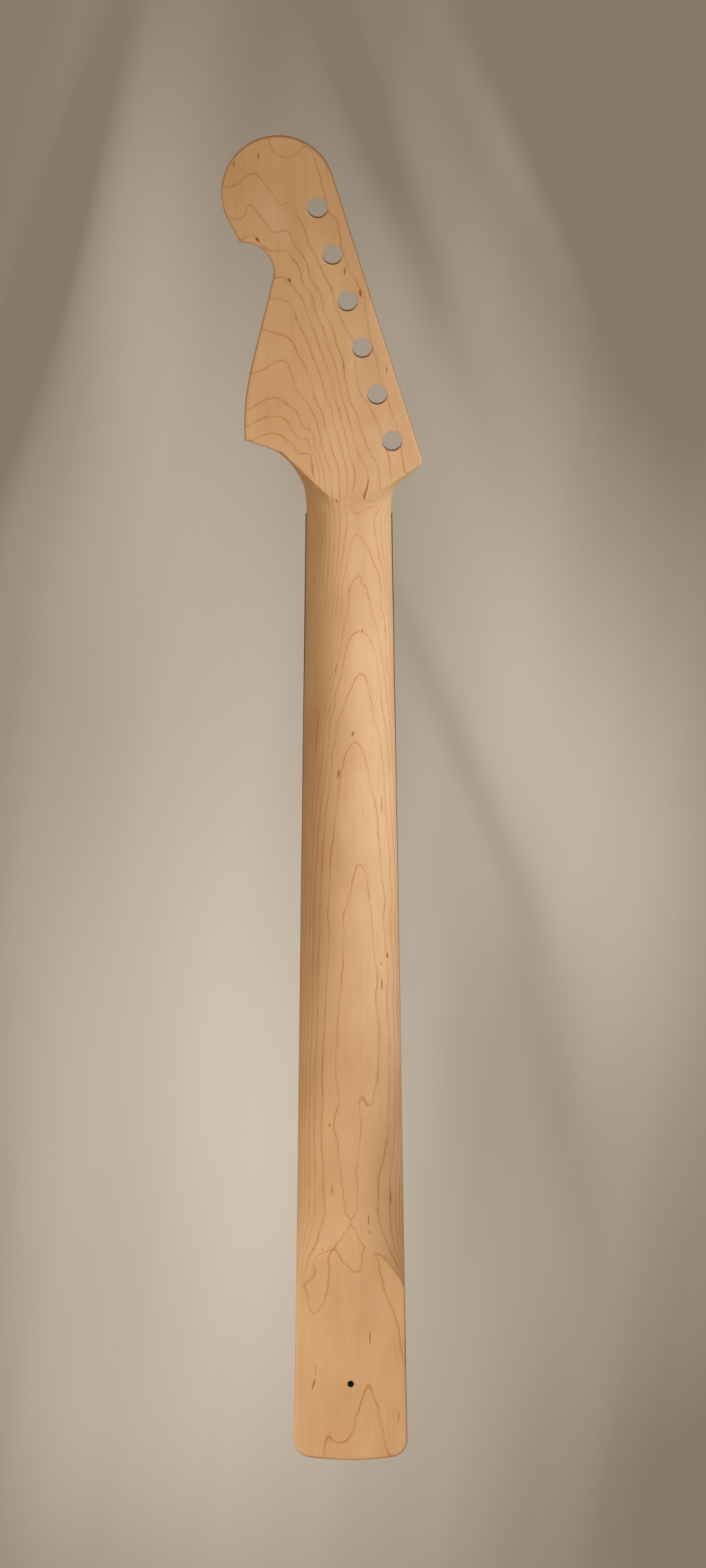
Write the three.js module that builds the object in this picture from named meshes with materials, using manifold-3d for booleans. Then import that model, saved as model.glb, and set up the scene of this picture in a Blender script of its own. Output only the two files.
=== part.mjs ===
// Bolt-on electric guitar neck: maple neck with a six-in-line headstock, fretted rosewood
// fingerboard, string nut, position dots, and a truss rod that is adjusted at the heel.
// Millimetres, +Z up towards the headstock. The back faces -Y and the strings lie on the +Y side.
// The tuner holes are on the +X side, which is the bass side. The origin is on the flat back of
// the heel, at the centre of the neck plate.

import * as THREE from 'three';
import { mergeVertices } from 'three/addons/utils/BufferGeometryUtils.js';
import Module from 'manifold-3d';

const wasm = await Module();
wasm.setup();

// Scale and fingerboard
const scaleLength = 647.7;
const fretCount = 21;
const semitonesPerOctave = 12;
const boardWidthAtNutEnd = 42.9;
const boardWidthAtHeelEnd = 56.5;
const boardThickness = 5.75;
const boardTopRadius = 241.3;
const boardFlatWidth = 8;
const boardPastLastFret = 6.8;
const boardPastNut = 4.8;
const glueLine = 0.05;

// Heel
const heelThickness = 19.6;
const plateCentreFromHeelEnd = 41.3;
const heelEndRadius = 142;
const heelCornerRadius = 8.5;
const locatingHoleDiameter = 3.2;
const locatingHoleDepth = 7;
const locatingHoleFromHeelEnd = 37.95;

// Shaft
const neckThicknessAtFirstFret = 21;
const neckThicknessAtTwelfthFret = 23;
const twelfthFret = 12;
const sideFlankHeight = 1.2;
const arcSectionShare = 0.75;
const boardRevealAtNutEnd = 0.5;
const revealStartFromHeelEnd = 143;

// Scooped run-out of the shaft into the heel
const heelScoopApexFromHeelEnd = 107;
const heelScoopDrop = 23;
const heelScoopCentreLength = 20;
const heelScoopSideLength = 40;
const centreSharpnessShare = 0.22;

// Scooped run-out of the shaft into the headstock
const headScoopFlatHalfWidth = 7.8;
const headScoopCornerBlend = 4;
const headScoopFromBoardEnd = 7;
const headScoopLength = 36;
const headScoopTrebleSlope = 0.95;
const headScoopBassSlope = 0.655;
const headScoopReach = 34;
const headLipShare = 0.22;
const headLipLength = 7;
const headRollLength = 6;
const headRollHalfWidth = 13;

// Headstock
const headThickness = 14.3;
const headLength = 187.5;
const headWidth = 98.8;
const frontRampRadius = 20;
const headBallRadiusShare = 0.1501;
const notchRadiusShare = 0.08;
const bassCornerCut = 3;
const tunerHoleCount = 6;
const tunerHoleDiameter = 10;

// Places on the headstock: across as shares of its width from the centreline, and up as shares
// of its length from the fingerboard's end. Its two radii above are shares of its length.
const bassCornerShares = [0.3735, 0.136];
const ballCentreShares = [-0.3512, 0.8521];
const hornCornerShares = [-0.5435, 0.7228];
const notchCentreShares = [-0.5263, 0.6417];
const bassThroatShares = [[0.215, 0.0475], [0.2379, 0.0717], [0.2692, 0.092]];
const lowestTunerShares = [0.2163, 0.196];
const highestTunerShares = [-0.1533, 0.8126];
const trebleFlankShares = [[-0.4727, 0.4237], [-0.4955, 0.374], [-0.5152, 0.3113], [-0.5228, 0.2599]];
const trebleCornerShares = [-0.5223, 0.1992];
const trebleThroatShares = [
  [-0.446, 0.186],
  [-0.3527, 0.1659],
  [-0.2815, 0.1287],
  [-0.2315, 0.0824],
  [-0.2165, 0.045],
];

// Frets
const fretCrownWidth = 2.5;
const fretCrownHeight = 1.1;
const fretTangThickness = 0.5;
const fretTangDepth = 1.6;
const fretEndBevelShare = 0.6;
const fretEndInset = 0.15;
const slotSideClearance = 0.05;
const slotFloorClearance = 0.15;

// String nut
const nutThickness = 3.2;
const nutSlotDepth = 3;
const nutStandUp = 1.9;
const nutEndInset = 0.1;
const nutSideClearance = 0.05;
const stringCount = 6;
const stringSpread = 35.2;
const bassStringSlot = 1.3;
const trebleStringSlot = 0.4;
const stringSlotDepth = 0.8;

// Position dots
const dottedFrets = [3, 5, 7, 9, 12, 15, 17, 19, 21];
const doubleDottedFret = 12;
const faceDotDiameter = 6.35;
const faceDotDepth = 1.6;
const doubleFaceDotOffset = 11;
const sideDotDiameter = 2;
const sideDotDepth = 2.5;
const doubleSideDotOffset = 3.5;
const dotClearance = 0.05;

// Truss rod
const rodDiameter = 4.76;
const rodEndDepth = 7.5;
const rodMiddleDepth = 11;
const rodCurveStartFromHeelEnd = 30;
const rodCurveEndBeforeNut = 22;
const channelWidth = 6.4;
const rodClearance = 0.3;
const stripSideClearance = 0.1;

// Rod anchor under the nut end of the board
const anchorWidth = 9.5;
const anchorHeight = 8;
const anchorLength = 12;
const anchorClearance = 0.4;

// Adjuster at the heel end
const adjusterDiameter = 9.5;
const adjusterLength = 14;
const adjusterRecess = 1.5;
const adjusterSideClearance = 0.6;
const adjusterSlotWidth = 1.6;
const adjusterSlotDepth = 2.6;
const adjusterChamfer = 0.6;
const washerThickness = 1.2;
const seatClearance = 0.1;
const rodEndInsideAdjuster = 4;

// Cutting overrun, and how finely round things are divided
const overrun = 5;
const mergeDistance = 0.001;
const roundSides = 20;
const smallRoundSides = 12;
const rodSides = 10;
const rodSteps = 14;
const endArcSteps = 6;
const cornerSteps = 5;
const ballSteps = 20;
const notchSteps = 10;
const splineStepsPerPoint = 3;
const rampSteps = 8;
const profileHalfSteps = 10;
const shaftRowCount = 7;
const crownSteps = 4;
const rollRows = 2;
const lipRows = 3;
const headScoopRows = 4;
const heelScoopRows = 7;

// Heights and places worked out from the sizes above
const rodRadius = rodDiameter / 2;
const glueY = heelThickness;
const boardBottomY = glueY + glueLine;
const boardTopY = boardBottomY + boardThickness;
const heelEndZ = -plateCentreFromHeelEnd;
const nutFrontZ = heelEndZ + boardPastLastFret + scaleLength - stringLeft(fretCount);
const nutBackZ = nutFrontZ + nutThickness;
const boardEndZ = nutBackZ + boardPastNut;
const headTopZ = boardEndZ + headLength;
const headBallRadius = headLength * headBallRadiusShare;
const notchRadius = headLength * notchRadiusShare;

function stringLeft(fret) {
  return scaleLength * 2 ** (-fret / semitonesPerOctave);
}

function fretZ(fret) {
  return nutFrontZ - scaleLength + stringLeft(fret);
}

function clampShare(value) {
  return Math.min(1, Math.max(0, value));
}

// Half width of the fingerboard at a height, tapering evenly from the heel end
function boardHalfWidth(z) {
  const share = (boardEndZ - z) / (boardEndZ - heelEndZ);
  return (boardWidthAtNutEnd + (boardWidthAtHeelEnd - boardWidthAtNutEnd) * share) / 2;
}

// The maple is flush with the board at the heel and falls a little inside it towards the nut
function mapleHalfWidth(z) {
  const revealStartZ = heelEndZ + revealStartFromHeelEnd;
  const share = clampShare((z - revealStartZ) / (boardEndZ - revealStartZ));
  return boardHalfWidth(z) - boardRevealAtNutEnd * share;
}

// A point on the headstock from its shares across and up
function headPoint([acrossShare, upShare]) {
  return new THREE.Vector2(acrossShare * headWidth, boardEndZ + upShare * headLength);
}

function arcPoints(centre, radius, startAngle, endAngle, steps) {
  const points = [];
  for (let step = 0; step <= steps; step += 1) {
    const angle = startAngle + ((endAngle - startAngle) * step) / steps;
    points.push(new THREE.Vector2(centre.x + radius * Math.cos(angle), centre.y + radius * Math.sin(angle)));
  }
  return points;
}

function splinePoints(points) {
  return new THREE.SplineCurve(points).getPoints(points.length * splineStepsPerPoint);
}

// Right half of the heel end, from the centreline round the corner to the side
function heelEndHalf(halfWidthAt) {
  const cornerHeight = heelCornerRadius;
  const across = halfWidthAt(heelEndZ + cornerHeight) - heelCornerRadius;
  const centreDistance = heelEndRadius - heelCornerRadius;
  const endCentre = new THREE.Vector2(0, heelEndZ + heelEndRadius);
  const drop = Math.sqrt(centreDistance ** 2 - across ** 2);
  const cornerCentre = new THREE.Vector2(across, endCentre.y - drop);
  const startAngle = -Math.PI / 2;
  const meetAngle = Math.atan2(-drop, across);
  return [
    ...arcPoints(endCentre, heelEndRadius, startAngle, meetAngle, endArcSteps),
    ...arcPoints(cornerCentre, heelCornerRadius, meetAngle, 0, cornerSteps).slice(1),
  ];
}

function mirrored(points) {
  return points.map((point) => new THREE.Vector2(-point.x, point.y)).reverse();
}

// Angle round a circle at which a straight line from a point outside just touches it
function touchAngle(centre, radius, point, side) {
  const away = point.clone().sub(centre);
  return Math.atan2(away.y, away.x) + side * Math.acos(radius / away.length());
}

// A corner cut back by a length along both of its edges and rounded between
function roundedCorner(before, corner, after) {
  const start = before.clone().sub(corner).setLength(bassCornerCut).add(corner);
  const end = after.clone().sub(corner).setLength(bassCornerCut).add(corner);
  return new THREE.QuadraticBezierCurve(start, corner, end).getPoints(cornerSteps);
}

// Outline of the headstock from the bass side of the board's end, over the top, to the treble side
function headOutline() {
  const halfWidth = mapleHalfWidth(boardEndZ);
  const bassEnd = new THREE.Vector2(halfWidth, boardEndZ);
  const bassThroat = bassThroatShares.map(headPoint);
  const bassCorner = headPoint(bassCornerShares);
  const ballCentre = headPoint(ballCentreShares);
  const hornCorner = headPoint(hornCornerShares);
  const notchCentre = headPoint(notchCentreShares);
  const trebleFlank = trebleFlankShares.map(headPoint);
  const trebleCorner = headPoint(trebleCornerShares);
  const trebleEnd = new THREE.Vector2(-halfWidth, boardEndZ);
  const ballStart = touchAngle(ballCentre, headBallRadius, bassCorner, 1);
  const ballEnd = touchAngle(ballCentre, headBallRadius, hornCorner, -1) + 2 * Math.PI;
  const ball = arcPoints(ballCentre, headBallRadius, ballStart, ballEnd, ballSteps);
  const toHorn = hornCorner.clone().sub(notchCentre);
  const notchStart = Math.atan2(toHorn.y, toHorn.x);
  const notchEnd = touchAngle(notchCentre, notchRadius, trebleFlank[0], 1);
  return [
    ...splinePoints([bassEnd, ...bassThroat]),
    ...roundedCorner(bassThroat[bassThroat.length - 1], bassCorner, ball[0]),
    ...ball,
    hornCorner,
    ...arcPoints(notchCentre, notchRadius, notchStart, notchEnd, notchSteps).slice(1),
    ...splinePoints([...trebleFlank, trebleCorner]),
    ...splinePoints([trebleCorner, ...trebleThroatShares.map(headPoint), trebleEnd]).slice(1),
  ];
}

// Rear of the maple before the scoops: a C-shaped section, between an arc and an ellipse, that ends
// in upright flanks
function shaftBackY(x, z) {
  const firstFretZ = fretZ(1);
  const share = (firstFretZ - z) / (firstFretZ - fretZ(twelfthFret));
  const thickness = neckThicknessAtFirstFret + (neckThicknessAtTwelfthFret - neckThicknessAtFirstFret) * share;
  const centreY = boardTopY - thickness;
  const depth = glueY - sideFlankHeight - centreY;
  const halfWidth = mapleHalfWidth(z);
  const across = Math.min(halfWidth, Math.abs(x));
  const arcRadius = (halfWidth ** 2 + depth ** 2) / (2 * depth);
  const arcFall = arcRadius - Math.sqrt(arcRadius ** 2 - across ** 2);
  const ellipseFall = depth * (1 - Math.sqrt(1 - (across / halfWidth) ** 2));
  return centreY + arcSectionShare * arcFall + (1 - arcSectionShare) * ellipseFall;
}

// Height at which the flat back of the headstock breaks into the scoop: level across the middle,
// then climbing evenly towards each side
function headScoopEdgeZ(x) {
  const slope = x < 0 ? headScoopTrebleSlope : headScoopBassSlope;
  const climb = softClimb(Math.min(Math.abs(x), headScoopReach)) - softClimb(0);
  return boardEndZ + headScoopFromBoardEnd + slope * climb;
}

// Distance outside the level middle, with the corner between the two blended
function softClimb(across) {
  const run = across - headScoopFlatHalfWidth;
  return (run + Math.hypot(run, headScoopCornerBlend)) / 2;
}

// Height at which the flat back of the heel breaks into the scoop
function heelScoopEdgeZ(x) {
  return heelEndZ + heelScoopApexFromHeelEnd - heelScoopDrop * heelAcross(x) ** 2;
}

function heelScoopLengthAt(x) {
  return heelScoopCentreLength + (heelScoopSideLength - heelScoopCentreLength) * heelAcross(x) ** 2;
}

function heelAcross(x) {
  return Math.min(1, (2 * Math.abs(x)) / boardWidthAtHeelEnd);
}

// Shares that rise from 0 to 1: one with a crisp start, one that starts and ends tangent
function crispShare(share) {
  return 1 - (1 - clampShare(share)) ** 2;
}

function tangentShare(share) {
  const inside = clampShare(share);
  return inside * inside * (3 - 2 * inside);
}

// Share of the shaft's depth reached below the headstock: a short lip, rolled over in the middle
// and crisp at the sides, and then a long hollow
function headScoopShare(x, z) {
  const below = headScoopEdgeZ(x) - z;
  const rolled = clampShare(1 + below / headRollLength) ** 2;
  const crisp = crispShare(below / headLipLength);
  const lip = rolled + (crisp - rolled) * tangentShare(Math.abs(x) / headRollHalfWidth);
  return headLipShare * lip + (1 - headLipShare) * crispShare(below / headScoopLength);
}

// Share of the shaft's depth reached above the heel: crisp at the sides and nearly tangent to the
// flat at the centre
function heelScoopShare(x, z) {
  const share = (z - heelScoopEdgeZ(x)) / heelScoopLengthAt(x);
  const across = tangentShare(Math.abs(x) / mapleHalfWidth(z));
  const sharpness = centreSharpnessShare + (1 - centreSharpnessShare) * across;
  return sharpness * crispShare(share) + (1 - sharpness) * tangentShare(share);
}

function backY(x, z) {
  return shaftBackY(x, z) * headScoopShare(x, z) * heelScoopShare(x, z);
}

// A closed solid from a three.js geometry
function solidFrom(geometry) {
  const bare = geometry.index ? geometry.clone() : geometry;
  bare.deleteAttribute('normal');
  bare.deleteAttribute('uv');
  const merged = mergeVertices(bare);
  const mesh = new wasm.Mesh({
    numProp: 3,
    vertProperties: merged.attributes.position.array,
    triVerts: new Uint32Array(merged.index.array),
  });
  return new wasm.Manifold(mesh);
}

function geometryFrom(solid) {
  const mesh = solid.getMesh();
  const geometry = new THREE.BufferGeometry();
  geometry.setAttribute('position', new THREE.BufferAttribute(mesh.vertProperties, 3));
  geometry.setIndex(new THREE.BufferAttribute(mesh.triVerts, 1));
  geometry.computeVertexNormals();
  return geometry;
}

// Drops points that lie on the one before them
function withoutRepeats(points) {
  return points.filter((point, index) => {
    const before = points[(index + points.length - 1) % points.length];
    return point.distanceTo(before) > mergeDistance;
  });
}

function extruded(points, length) {
  const shape = new THREE.Shape(withoutRepeats(points));
  return new THREE.ExtrudeGeometry(shape, { depth: length, bevelEnabled: false });
}

// Plan outline (x, z) raised through the thickness from one y to another
function planSolid(points, lowY, highY) {
  const geometry = extruded(points, highY - lowY);
  const basis = new THREE.Matrix4().makeBasis(
    new THREE.Vector3(1, 0, 0),
    new THREE.Vector3(0, 0, 1),
    new THREE.Vector3(0, -1, 0),
  );
  geometry.applyMatrix4(basis.setPosition(0, highY, 0));
  return solidFrom(geometry);
}

// Side profile (y, z) spread across the neck between two x places
function profileSolid(points, lowX, highX) {
  const geometry = extruded(points, highX - lowX);
  const basis = new THREE.Matrix4().makeBasis(
    new THREE.Vector3(0, 1, 0),
    new THREE.Vector3(0, 0, 1),
    new THREE.Vector3(1, 0, 0),
  );
  geometry.applyMatrix4(basis.setPosition(lowX, 0, 0));
  return solidFrom(geometry);
}

function boxSolid(low, high) {
  const size = new THREE.Vector3().subVectors(high, low);
  const centre = new THREE.Vector3().addVectors(low, high).multiplyScalar(1 / 2);
  const geometry = new THREE.BoxGeometry(size.x, size.y, size.z);
  geometry.translate(centre.x, centre.y, centre.z);
  return solidFrom(geometry);
}

function roundSolid(start, end, radius, sides) {
  const along = new THREE.Vector3().subVectors(end, start);
  const geometry = new THREE.CylinderGeometry(radius, radius, along.length(), sides);
  const turn = new THREE.Quaternion().setFromUnitVectors(new THREE.Vector3(0, 1, 0), along.clone().normalize());
  geometry.applyQuaternion(turn);
  const centre = new THREE.Vector3().addVectors(start, end).multiplyScalar(1 / 2);
  geometry.translate(centre.x, centre.y, centre.z);
  return solidFrom(geometry);
}

// Everything on the string side of the curved rear surface, as a grid of points with a flat lid
function spaceInFrontOfBack() {
  const outerX = headWidth;
  const lidY = glueY + overrun;
  const rows = [];
  const shaftTopZ = boardEndZ + headScoopFromBoardEnd - headScoopLength;
  const shaftFootZ = heelEndZ + heelScoopApexFromHeelEnd + heelScoopCentreLength;
  rows.push(() => heelEndZ - overrun);
  for (let row = 0; row <= heelScoopRows; row += 1) {
    rows.push((x) => heelScoopEdgeZ(x) + heelScoopLengthAt(x) * (row / heelScoopRows) ** 2);
  }
  for (let row = 1; row < shaftRowCount; row += 1) {
    const z = shaftFootZ + ((shaftTopZ - shaftFootZ) * row) / shaftRowCount;
    rows.push(() => z);
  }
  for (let row = headScoopRows; row > 0; row -= 1) {
    const below = headLipLength + ((headScoopLength - headLipLength) * row) / headScoopRows;
    rows.push((x) => headScoopEdgeZ(x) - below);
  }
  for (let row = lipRows; row >= -rollRows; row -= 1) {
    const below = row > 0 ? (headLipLength * row) / lipRows : (headRollLength * row) / rollRows;
    rows.push((x) => headScoopEdgeZ(x) - below);
  }
  rows.push(() => headTopZ + overrun);
  const positions = [];
  let columnCount = 0;
  for (const rowZ of rows) {
    const halfWidth = mapleHalfWidth(rowZ(0));
    const places = [outerX, headScoopReach];
    for (let step = 0; step <= profileHalfSteps; step += 1) {
      places.push(halfWidth * Math.cos((Math.PI * step) / profileHalfSteps / 2));
    }
    const across = [...places.map((x) => -x), ...places.slice(0, -1).reverse()];
    columnCount = across.length;
    for (const x of across) {
      const z = rowZ(x);
      positions.push(x, backY(x, z), z, x, lidY, z);
    }
  }
  const indices = [];
  const backIndex = (row, column) => 2 * (row * columnCount + column);
  const quad = (a, b, c, d) => indices.push(a, b, c, a, c, d);
  for (let row = 0; row + 1 < rows.length; row += 1) {
    for (let column = 0; column + 1 < columnCount; column += 1) {
      const a = backIndex(row, column);
      const b = backIndex(row, column + 1);
      const c = backIndex(row + 1, column + 1);
      const d = backIndex(row + 1, column);
      quad(a, b, c, d);
      quad(d + 1, c + 1, b + 1, a + 1);
    }
    const last = columnCount - 1;
    quad(backIndex(row, 0), backIndex(row + 1, 0), backIndex(row + 1, 0) + 1, backIndex(row, 0) + 1);
    quad(backIndex(row, last) + 1, backIndex(row + 1, last) + 1, backIndex(row + 1, last), backIndex(row, last));
  }
  const lastRow = rows.length - 1;
  for (let column = 0; column + 1 < columnCount; column += 1) {
    const foot = backIndex(0, column);
    const footNext = backIndex(0, column + 1);
    const top = backIndex(lastRow, column);
    const topNext = backIndex(lastRow, column + 1);
    quad(foot + 1, footNext + 1, footNext, foot);
    quad(top, topNext, topNext + 1, top + 1);
  }
  const geometry = new THREE.BufferGeometry();
  geometry.setAttribute('position', new THREE.Float32BufferAttribute(positions, 3));
  geometry.setIndex(indices);
  return solidFrom(geometry);
}

// The concave ramp behind the nut, from a height above the glue line down to the headstock's face
const rampCentreY = headThickness + frontRampRadius;
const rampCentreZ = boardEndZ + Math.sqrt(frontRampRadius ** 2 - (rampCentreY - glueY) ** 2);

// What the ramp takes off between two heights, out to a place past what it cuts
function rampCut(lowY, highY, farZ) {
  const lowAngle = Math.acos((rampCentreY - lowY) / frontRampRadius);
  const highAngle = Math.acos((rampCentreY - highY) / frontRampRadius);
  const points = [new THREE.Vector2(highY, farZ)];
  for (let step = 0; step <= rampSteps; step += 1) {
    const angle = highAngle + ((lowAngle - highAngle) * step) / rampSteps;
    points.push(new THREE.Vector2(
      rampCentreY - frontRampRadius * Math.cos(angle),
      rampCentreZ - frontRampRadius * Math.sin(angle),
    ));
  }
  points.push(new THREE.Vector2(lowY, farZ));
  return profileSolid(points, -headWidth, headWidth);
}

// Truss rod: a straight stretch at the heel, then one long arc that dips towards the back
const rodStartZ = heelEndZ + rodCurveStartFromHeelEnd;
const rodEndZ = nutFrontZ - rodCurveEndBeforeNut;
const rodHalfChord = (rodEndZ - rodStartZ) / 2;
const rodSag = rodMiddleDepth - rodEndDepth;
const rodBendRadius = (rodHalfChord ** 2 + rodSag ** 2) / (2 * rodSag);
const rodMiddleZ = (rodStartZ + rodEndZ) / 2;
const rodEndSlope = Math.asin(rodHalfChord / rodBendRadius);

function rodCentreY(z) {
  const away = z - rodMiddleZ;
  const bend = rodBendRadius - Math.sqrt(rodBendRadius ** 2 - away ** 2);
  return glueY - rodMiddleDepth + bend;
}

function rodPlaces() {
  const places = [];
  for (let step = 0; step <= rodSteps; step += 1) {
    places.push(rodStartZ + ((rodEndZ - rodStartZ) * step) / rodSteps);
  }
  return places;
}

// The adjuster's axis leaves the heel end along the rod's straight stretch
const axisStart = new THREE.Vector3(0, rodCentreY(rodStartZ), rodStartZ);
const axisOut = new THREE.Vector3(0, Math.sin(rodEndSlope), -Math.cos(rodEndSlope));
const axisToHeelEnd = (rodStartZ - heelEndZ) / Math.cos(rodEndSlope);
const adjusterOuterEnd = axisToHeelEnd - adjusterRecess;
const adjusterInnerEnd = adjusterOuterEnd - adjusterLength;
const washerOuterFace = adjusterInnerEnd - seatClearance;
const washerInnerFace = washerOuterFace - washerThickness;
const boreFloor = washerInnerFace - seatClearance;

function axisPoint(distance) {
  return axisStart.clone().addScaledVector(axisOut, distance);
}

// The anchor's axis leaves the far end of the rod's arc
const anchorStart = new THREE.Vector3(0, rodCentreY(rodEndZ), rodEndZ);
const anchorOut = new THREE.Vector3(0, Math.sin(rodEndSlope), Math.cos(rodEndSlope));

function rodCut() {
  const reach = rodRadius + rodClearance;
  const floor = rodPlaces().map((z) => new THREE.Vector2(rodCentreY(z) - reach, z));
  const lid = glueY + overrun;
  const points = [...floor, new THREE.Vector2(lid, rodEndZ), new THREE.Vector2(lid, rodStartZ)];
  return profileSolid(points, -channelWidth / 2, channelWidth / 2);
}

function anchorPocket() {
  const half = anchorWidth / 2 + anchorClearance;
  const tilt = anchorLength * Math.sin(rodEndSlope);
  const floorY = anchorStart.y - anchorHeight / 2 - tilt / 2 - anchorClearance;
  return boxSolid(
    new THREE.Vector3(-half, floorY, rodEndZ - anchorClearance),
    new THREE.Vector3(half, glueY + overrun, rodEndZ + anchorLength + anchorClearance),
  );
}

function tunerHolePlaces() {
  const lowest = headPoint(lowestTunerShares);
  const highest = headPoint(highestTunerShares);
  const places = [];
  for (let hole = 0; hole < tunerHoleCount; hole += 1) {
    places.push(lowest.clone().lerp(highest, hole / (tunerHoleCount - 1)));
  }
  return places;
}

function mapleNeck() {
  const heelHalf = heelEndHalf(mapleHalfWidth);
  const outline = [...mirrored(heelHalf), ...heelHalf, ...headOutline()];
  let neck = planSolid(outline, -overrun, glueY).intersect(spaceInFrontOfBack());
  neck = neck.subtract(rampCut(headThickness, glueY + overrun, headTopZ + overrun));
  neck = neck.subtract(rodCut());
  neck = neck.subtract(anchorPocket());
  const rodHole = rodRadius + rodClearance;
  neck = neck.subtract(roundSolid(axisPoint(-overrun), axisPoint(boreFloor + overrun), rodHole, rodSides));
  const bore = adjusterDiameter / 2 + adjusterSideClearance;
  neck = neck.subtract(roundSolid(axisPoint(boreFloor), axisPoint(axisToHeelEnd + overrun), bore, roundSides));
  for (const place of tunerHolePlaces()) {
    const behind = new THREE.Vector3(place.x, -overrun, place.y);
    const inFront = new THREE.Vector3(place.x, glueY, place.y);
    neck = neck.subtract(roundSolid(behind, inFront, tunerHoleDiameter / 2, roundSides));
  }
  const holeZ = heelEndZ + locatingHoleFromHeelEnd;
  const holeBack = new THREE.Vector3(0, -overrun, holeZ);
  const holeFloor = new THREE.Vector3(0, locatingHoleDepth, holeZ);
  return neck.subtract(roundSolid(holeBack, holeFloor, locatingHoleDiameter / 2, smallRoundSides));
}

// Top of the board at a place across it, as narrow flats on an arc
function boardTopAt(x) {
  const flat = Math.floor(x / boardFlatWidth);
  const low = flat * boardFlatWidth;
  const high = low + boardFlatWidth;
  const share = (x - low) / boardFlatWidth;
  return arcTopAt(low) + (arcTopAt(high) - arcTopAt(low)) * share;
}

function arcTopAt(x) {
  return boardTopY - boardTopRadius + Math.sqrt(boardTopRadius ** 2 - x ** 2);
}

// Places across the board where its flats meet, within a half width
function flatEdges(halfWidth) {
  const edges = [];
  const count = Math.ceil(halfWidth / boardFlatWidth) - 1;
  for (let flat = -count; flat <= count; flat += 1) {
    edges.push(flat * boardFlatWidth);
  }
  return edges;
}

// The board before anything is cut into it
function boardBlank() {
  const outerX = (Math.ceil(boardWidthAtHeelEnd / 2 / boardFlatWidth) + 1) * boardFlatWidth;
  const across = [-outerX, ...flatEdges(outerX), outerX];
  const section = across.map((x) => new THREE.Vector2(x, arcTopAt(x))).reverse();
  section.push(new THREE.Vector2(-outerX, boardBottomY), new THREE.Vector2(outerX, boardBottomY));
  const geometry = extruded(section, boardEndZ - heelEndZ + overrun * 2);
  geometry.translate(0, 0, heelEndZ - overrun);
  const heelHalf = heelEndHalf(boardHalfWidth);
  const nutEndHalf = boardHalfWidth(boardEndZ);
  const outline = [
    ...mirrored(heelHalf),
    ...heelHalf,
    new THREE.Vector2(nutEndHalf, boardEndZ),
    new THREE.Vector2(-nutEndHalf, boardEndZ),
  ];
  const plan = planSolid(outline, boardBottomY - overrun, boardTopY + overrun);
  const ramp = rampCut(headThickness, boardTopY + overrun, headTopZ);
  return solidFrom(geometry).intersect(plan).subtract(ramp);
}

function faceDotPlaces() {
  const places = [];
  for (const fret of dottedFrets) {
    const z = (fretZ(fret) + fretZ(fret - 1)) / 2;
    const offsets = fret === doubleDottedFret ? [-doubleFaceDotOffset, doubleFaceDotOffset] : [0];
    for (const x of offsets) {
      places.push({ name: dotName('face_dot', fret, x), x, z });
    }
  }
  return places;
}

function sideDotPlaces() {
  const places = [];
  for (const fret of dottedFrets) {
    const z = (fretZ(fret) + fretZ(fret - 1)) / 2;
    const offsets = fret === doubleDottedFret ? [-doubleSideDotOffset, doubleSideDotOffset] : [0];
    for (const along of offsets) {
      places.push({ name: dotName('side_dot', fret, along), z: z + along });
    }
  }
  return places;
}

function dotName(kind, fret, offset) {
  const number = String(fret).padStart(2, '0');
  if (offset === 0) {
    return `${kind}_${number}`;
  }
  return `${kind}_${number}_${offset < 0 ? 'a' : 'b'}`;
}

// A face dot or its pocket, with the pocket larger all round by a clearance
function faceDotSolid({ x, z }, clearance) {
  const floor = new THREE.Vector3(x, boardTopAt(x) - faceDotDepth - clearance, z);
  const top = new THREE.Vector3(x, boardTopY + overrun, z);
  return roundSolid(floor, top, faceDotDiameter / 2 + clearance, roundSides);
}

function sideDotSolid({ z }, clearance) {
  const halfWidth = boardHalfWidth(z);
  const y = (boardBottomY + boardTopAt(halfWidth)) / 2;
  const inner = new THREE.Vector3(halfWidth - sideDotDepth - clearance, y, z);
  const outer = new THREE.Vector3(halfWidth + overrun, y, z);
  return roundSolid(inner, outer, sideDotDiameter / 2 + clearance, smallRoundSides);
}

function fingerboard(blank) {
  let board = blank;
  for (let fret = 1; fret <= fretCount; fret += 1) {
    const z = fretZ(fret);
    const half = fretTangThickness / 2 + slotSideClearance;
    const edgeY = boardTopAt(boardHalfWidth(z));
    const floorY = edgeY - fretTangDepth - slotFloorClearance;
    board = board.subtract(boxSolid(
      new THREE.Vector3(-boardWidthAtHeelEnd, floorY, z - half),
      new THREE.Vector3(boardWidthAtHeelEnd, boardTopY + overrun, z + half),
    ));
  }
  board = board.subtract(boxSolid(
    new THREE.Vector3(-boardWidthAtHeelEnd, boardTopY - nutSlotDepth, nutFrontZ),
    new THREE.Vector3(boardWidthAtHeelEnd, boardTopY + overrun, nutBackZ),
  ));
  for (const place of faceDotPlaces()) {
    board = board.subtract(faceDotSolid(place, dotClearance));
  }
  for (const place of sideDotPlaces()) {
    board = board.subtract(sideDotSolid(place, dotClearance));
  }
  return board;
}

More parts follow.
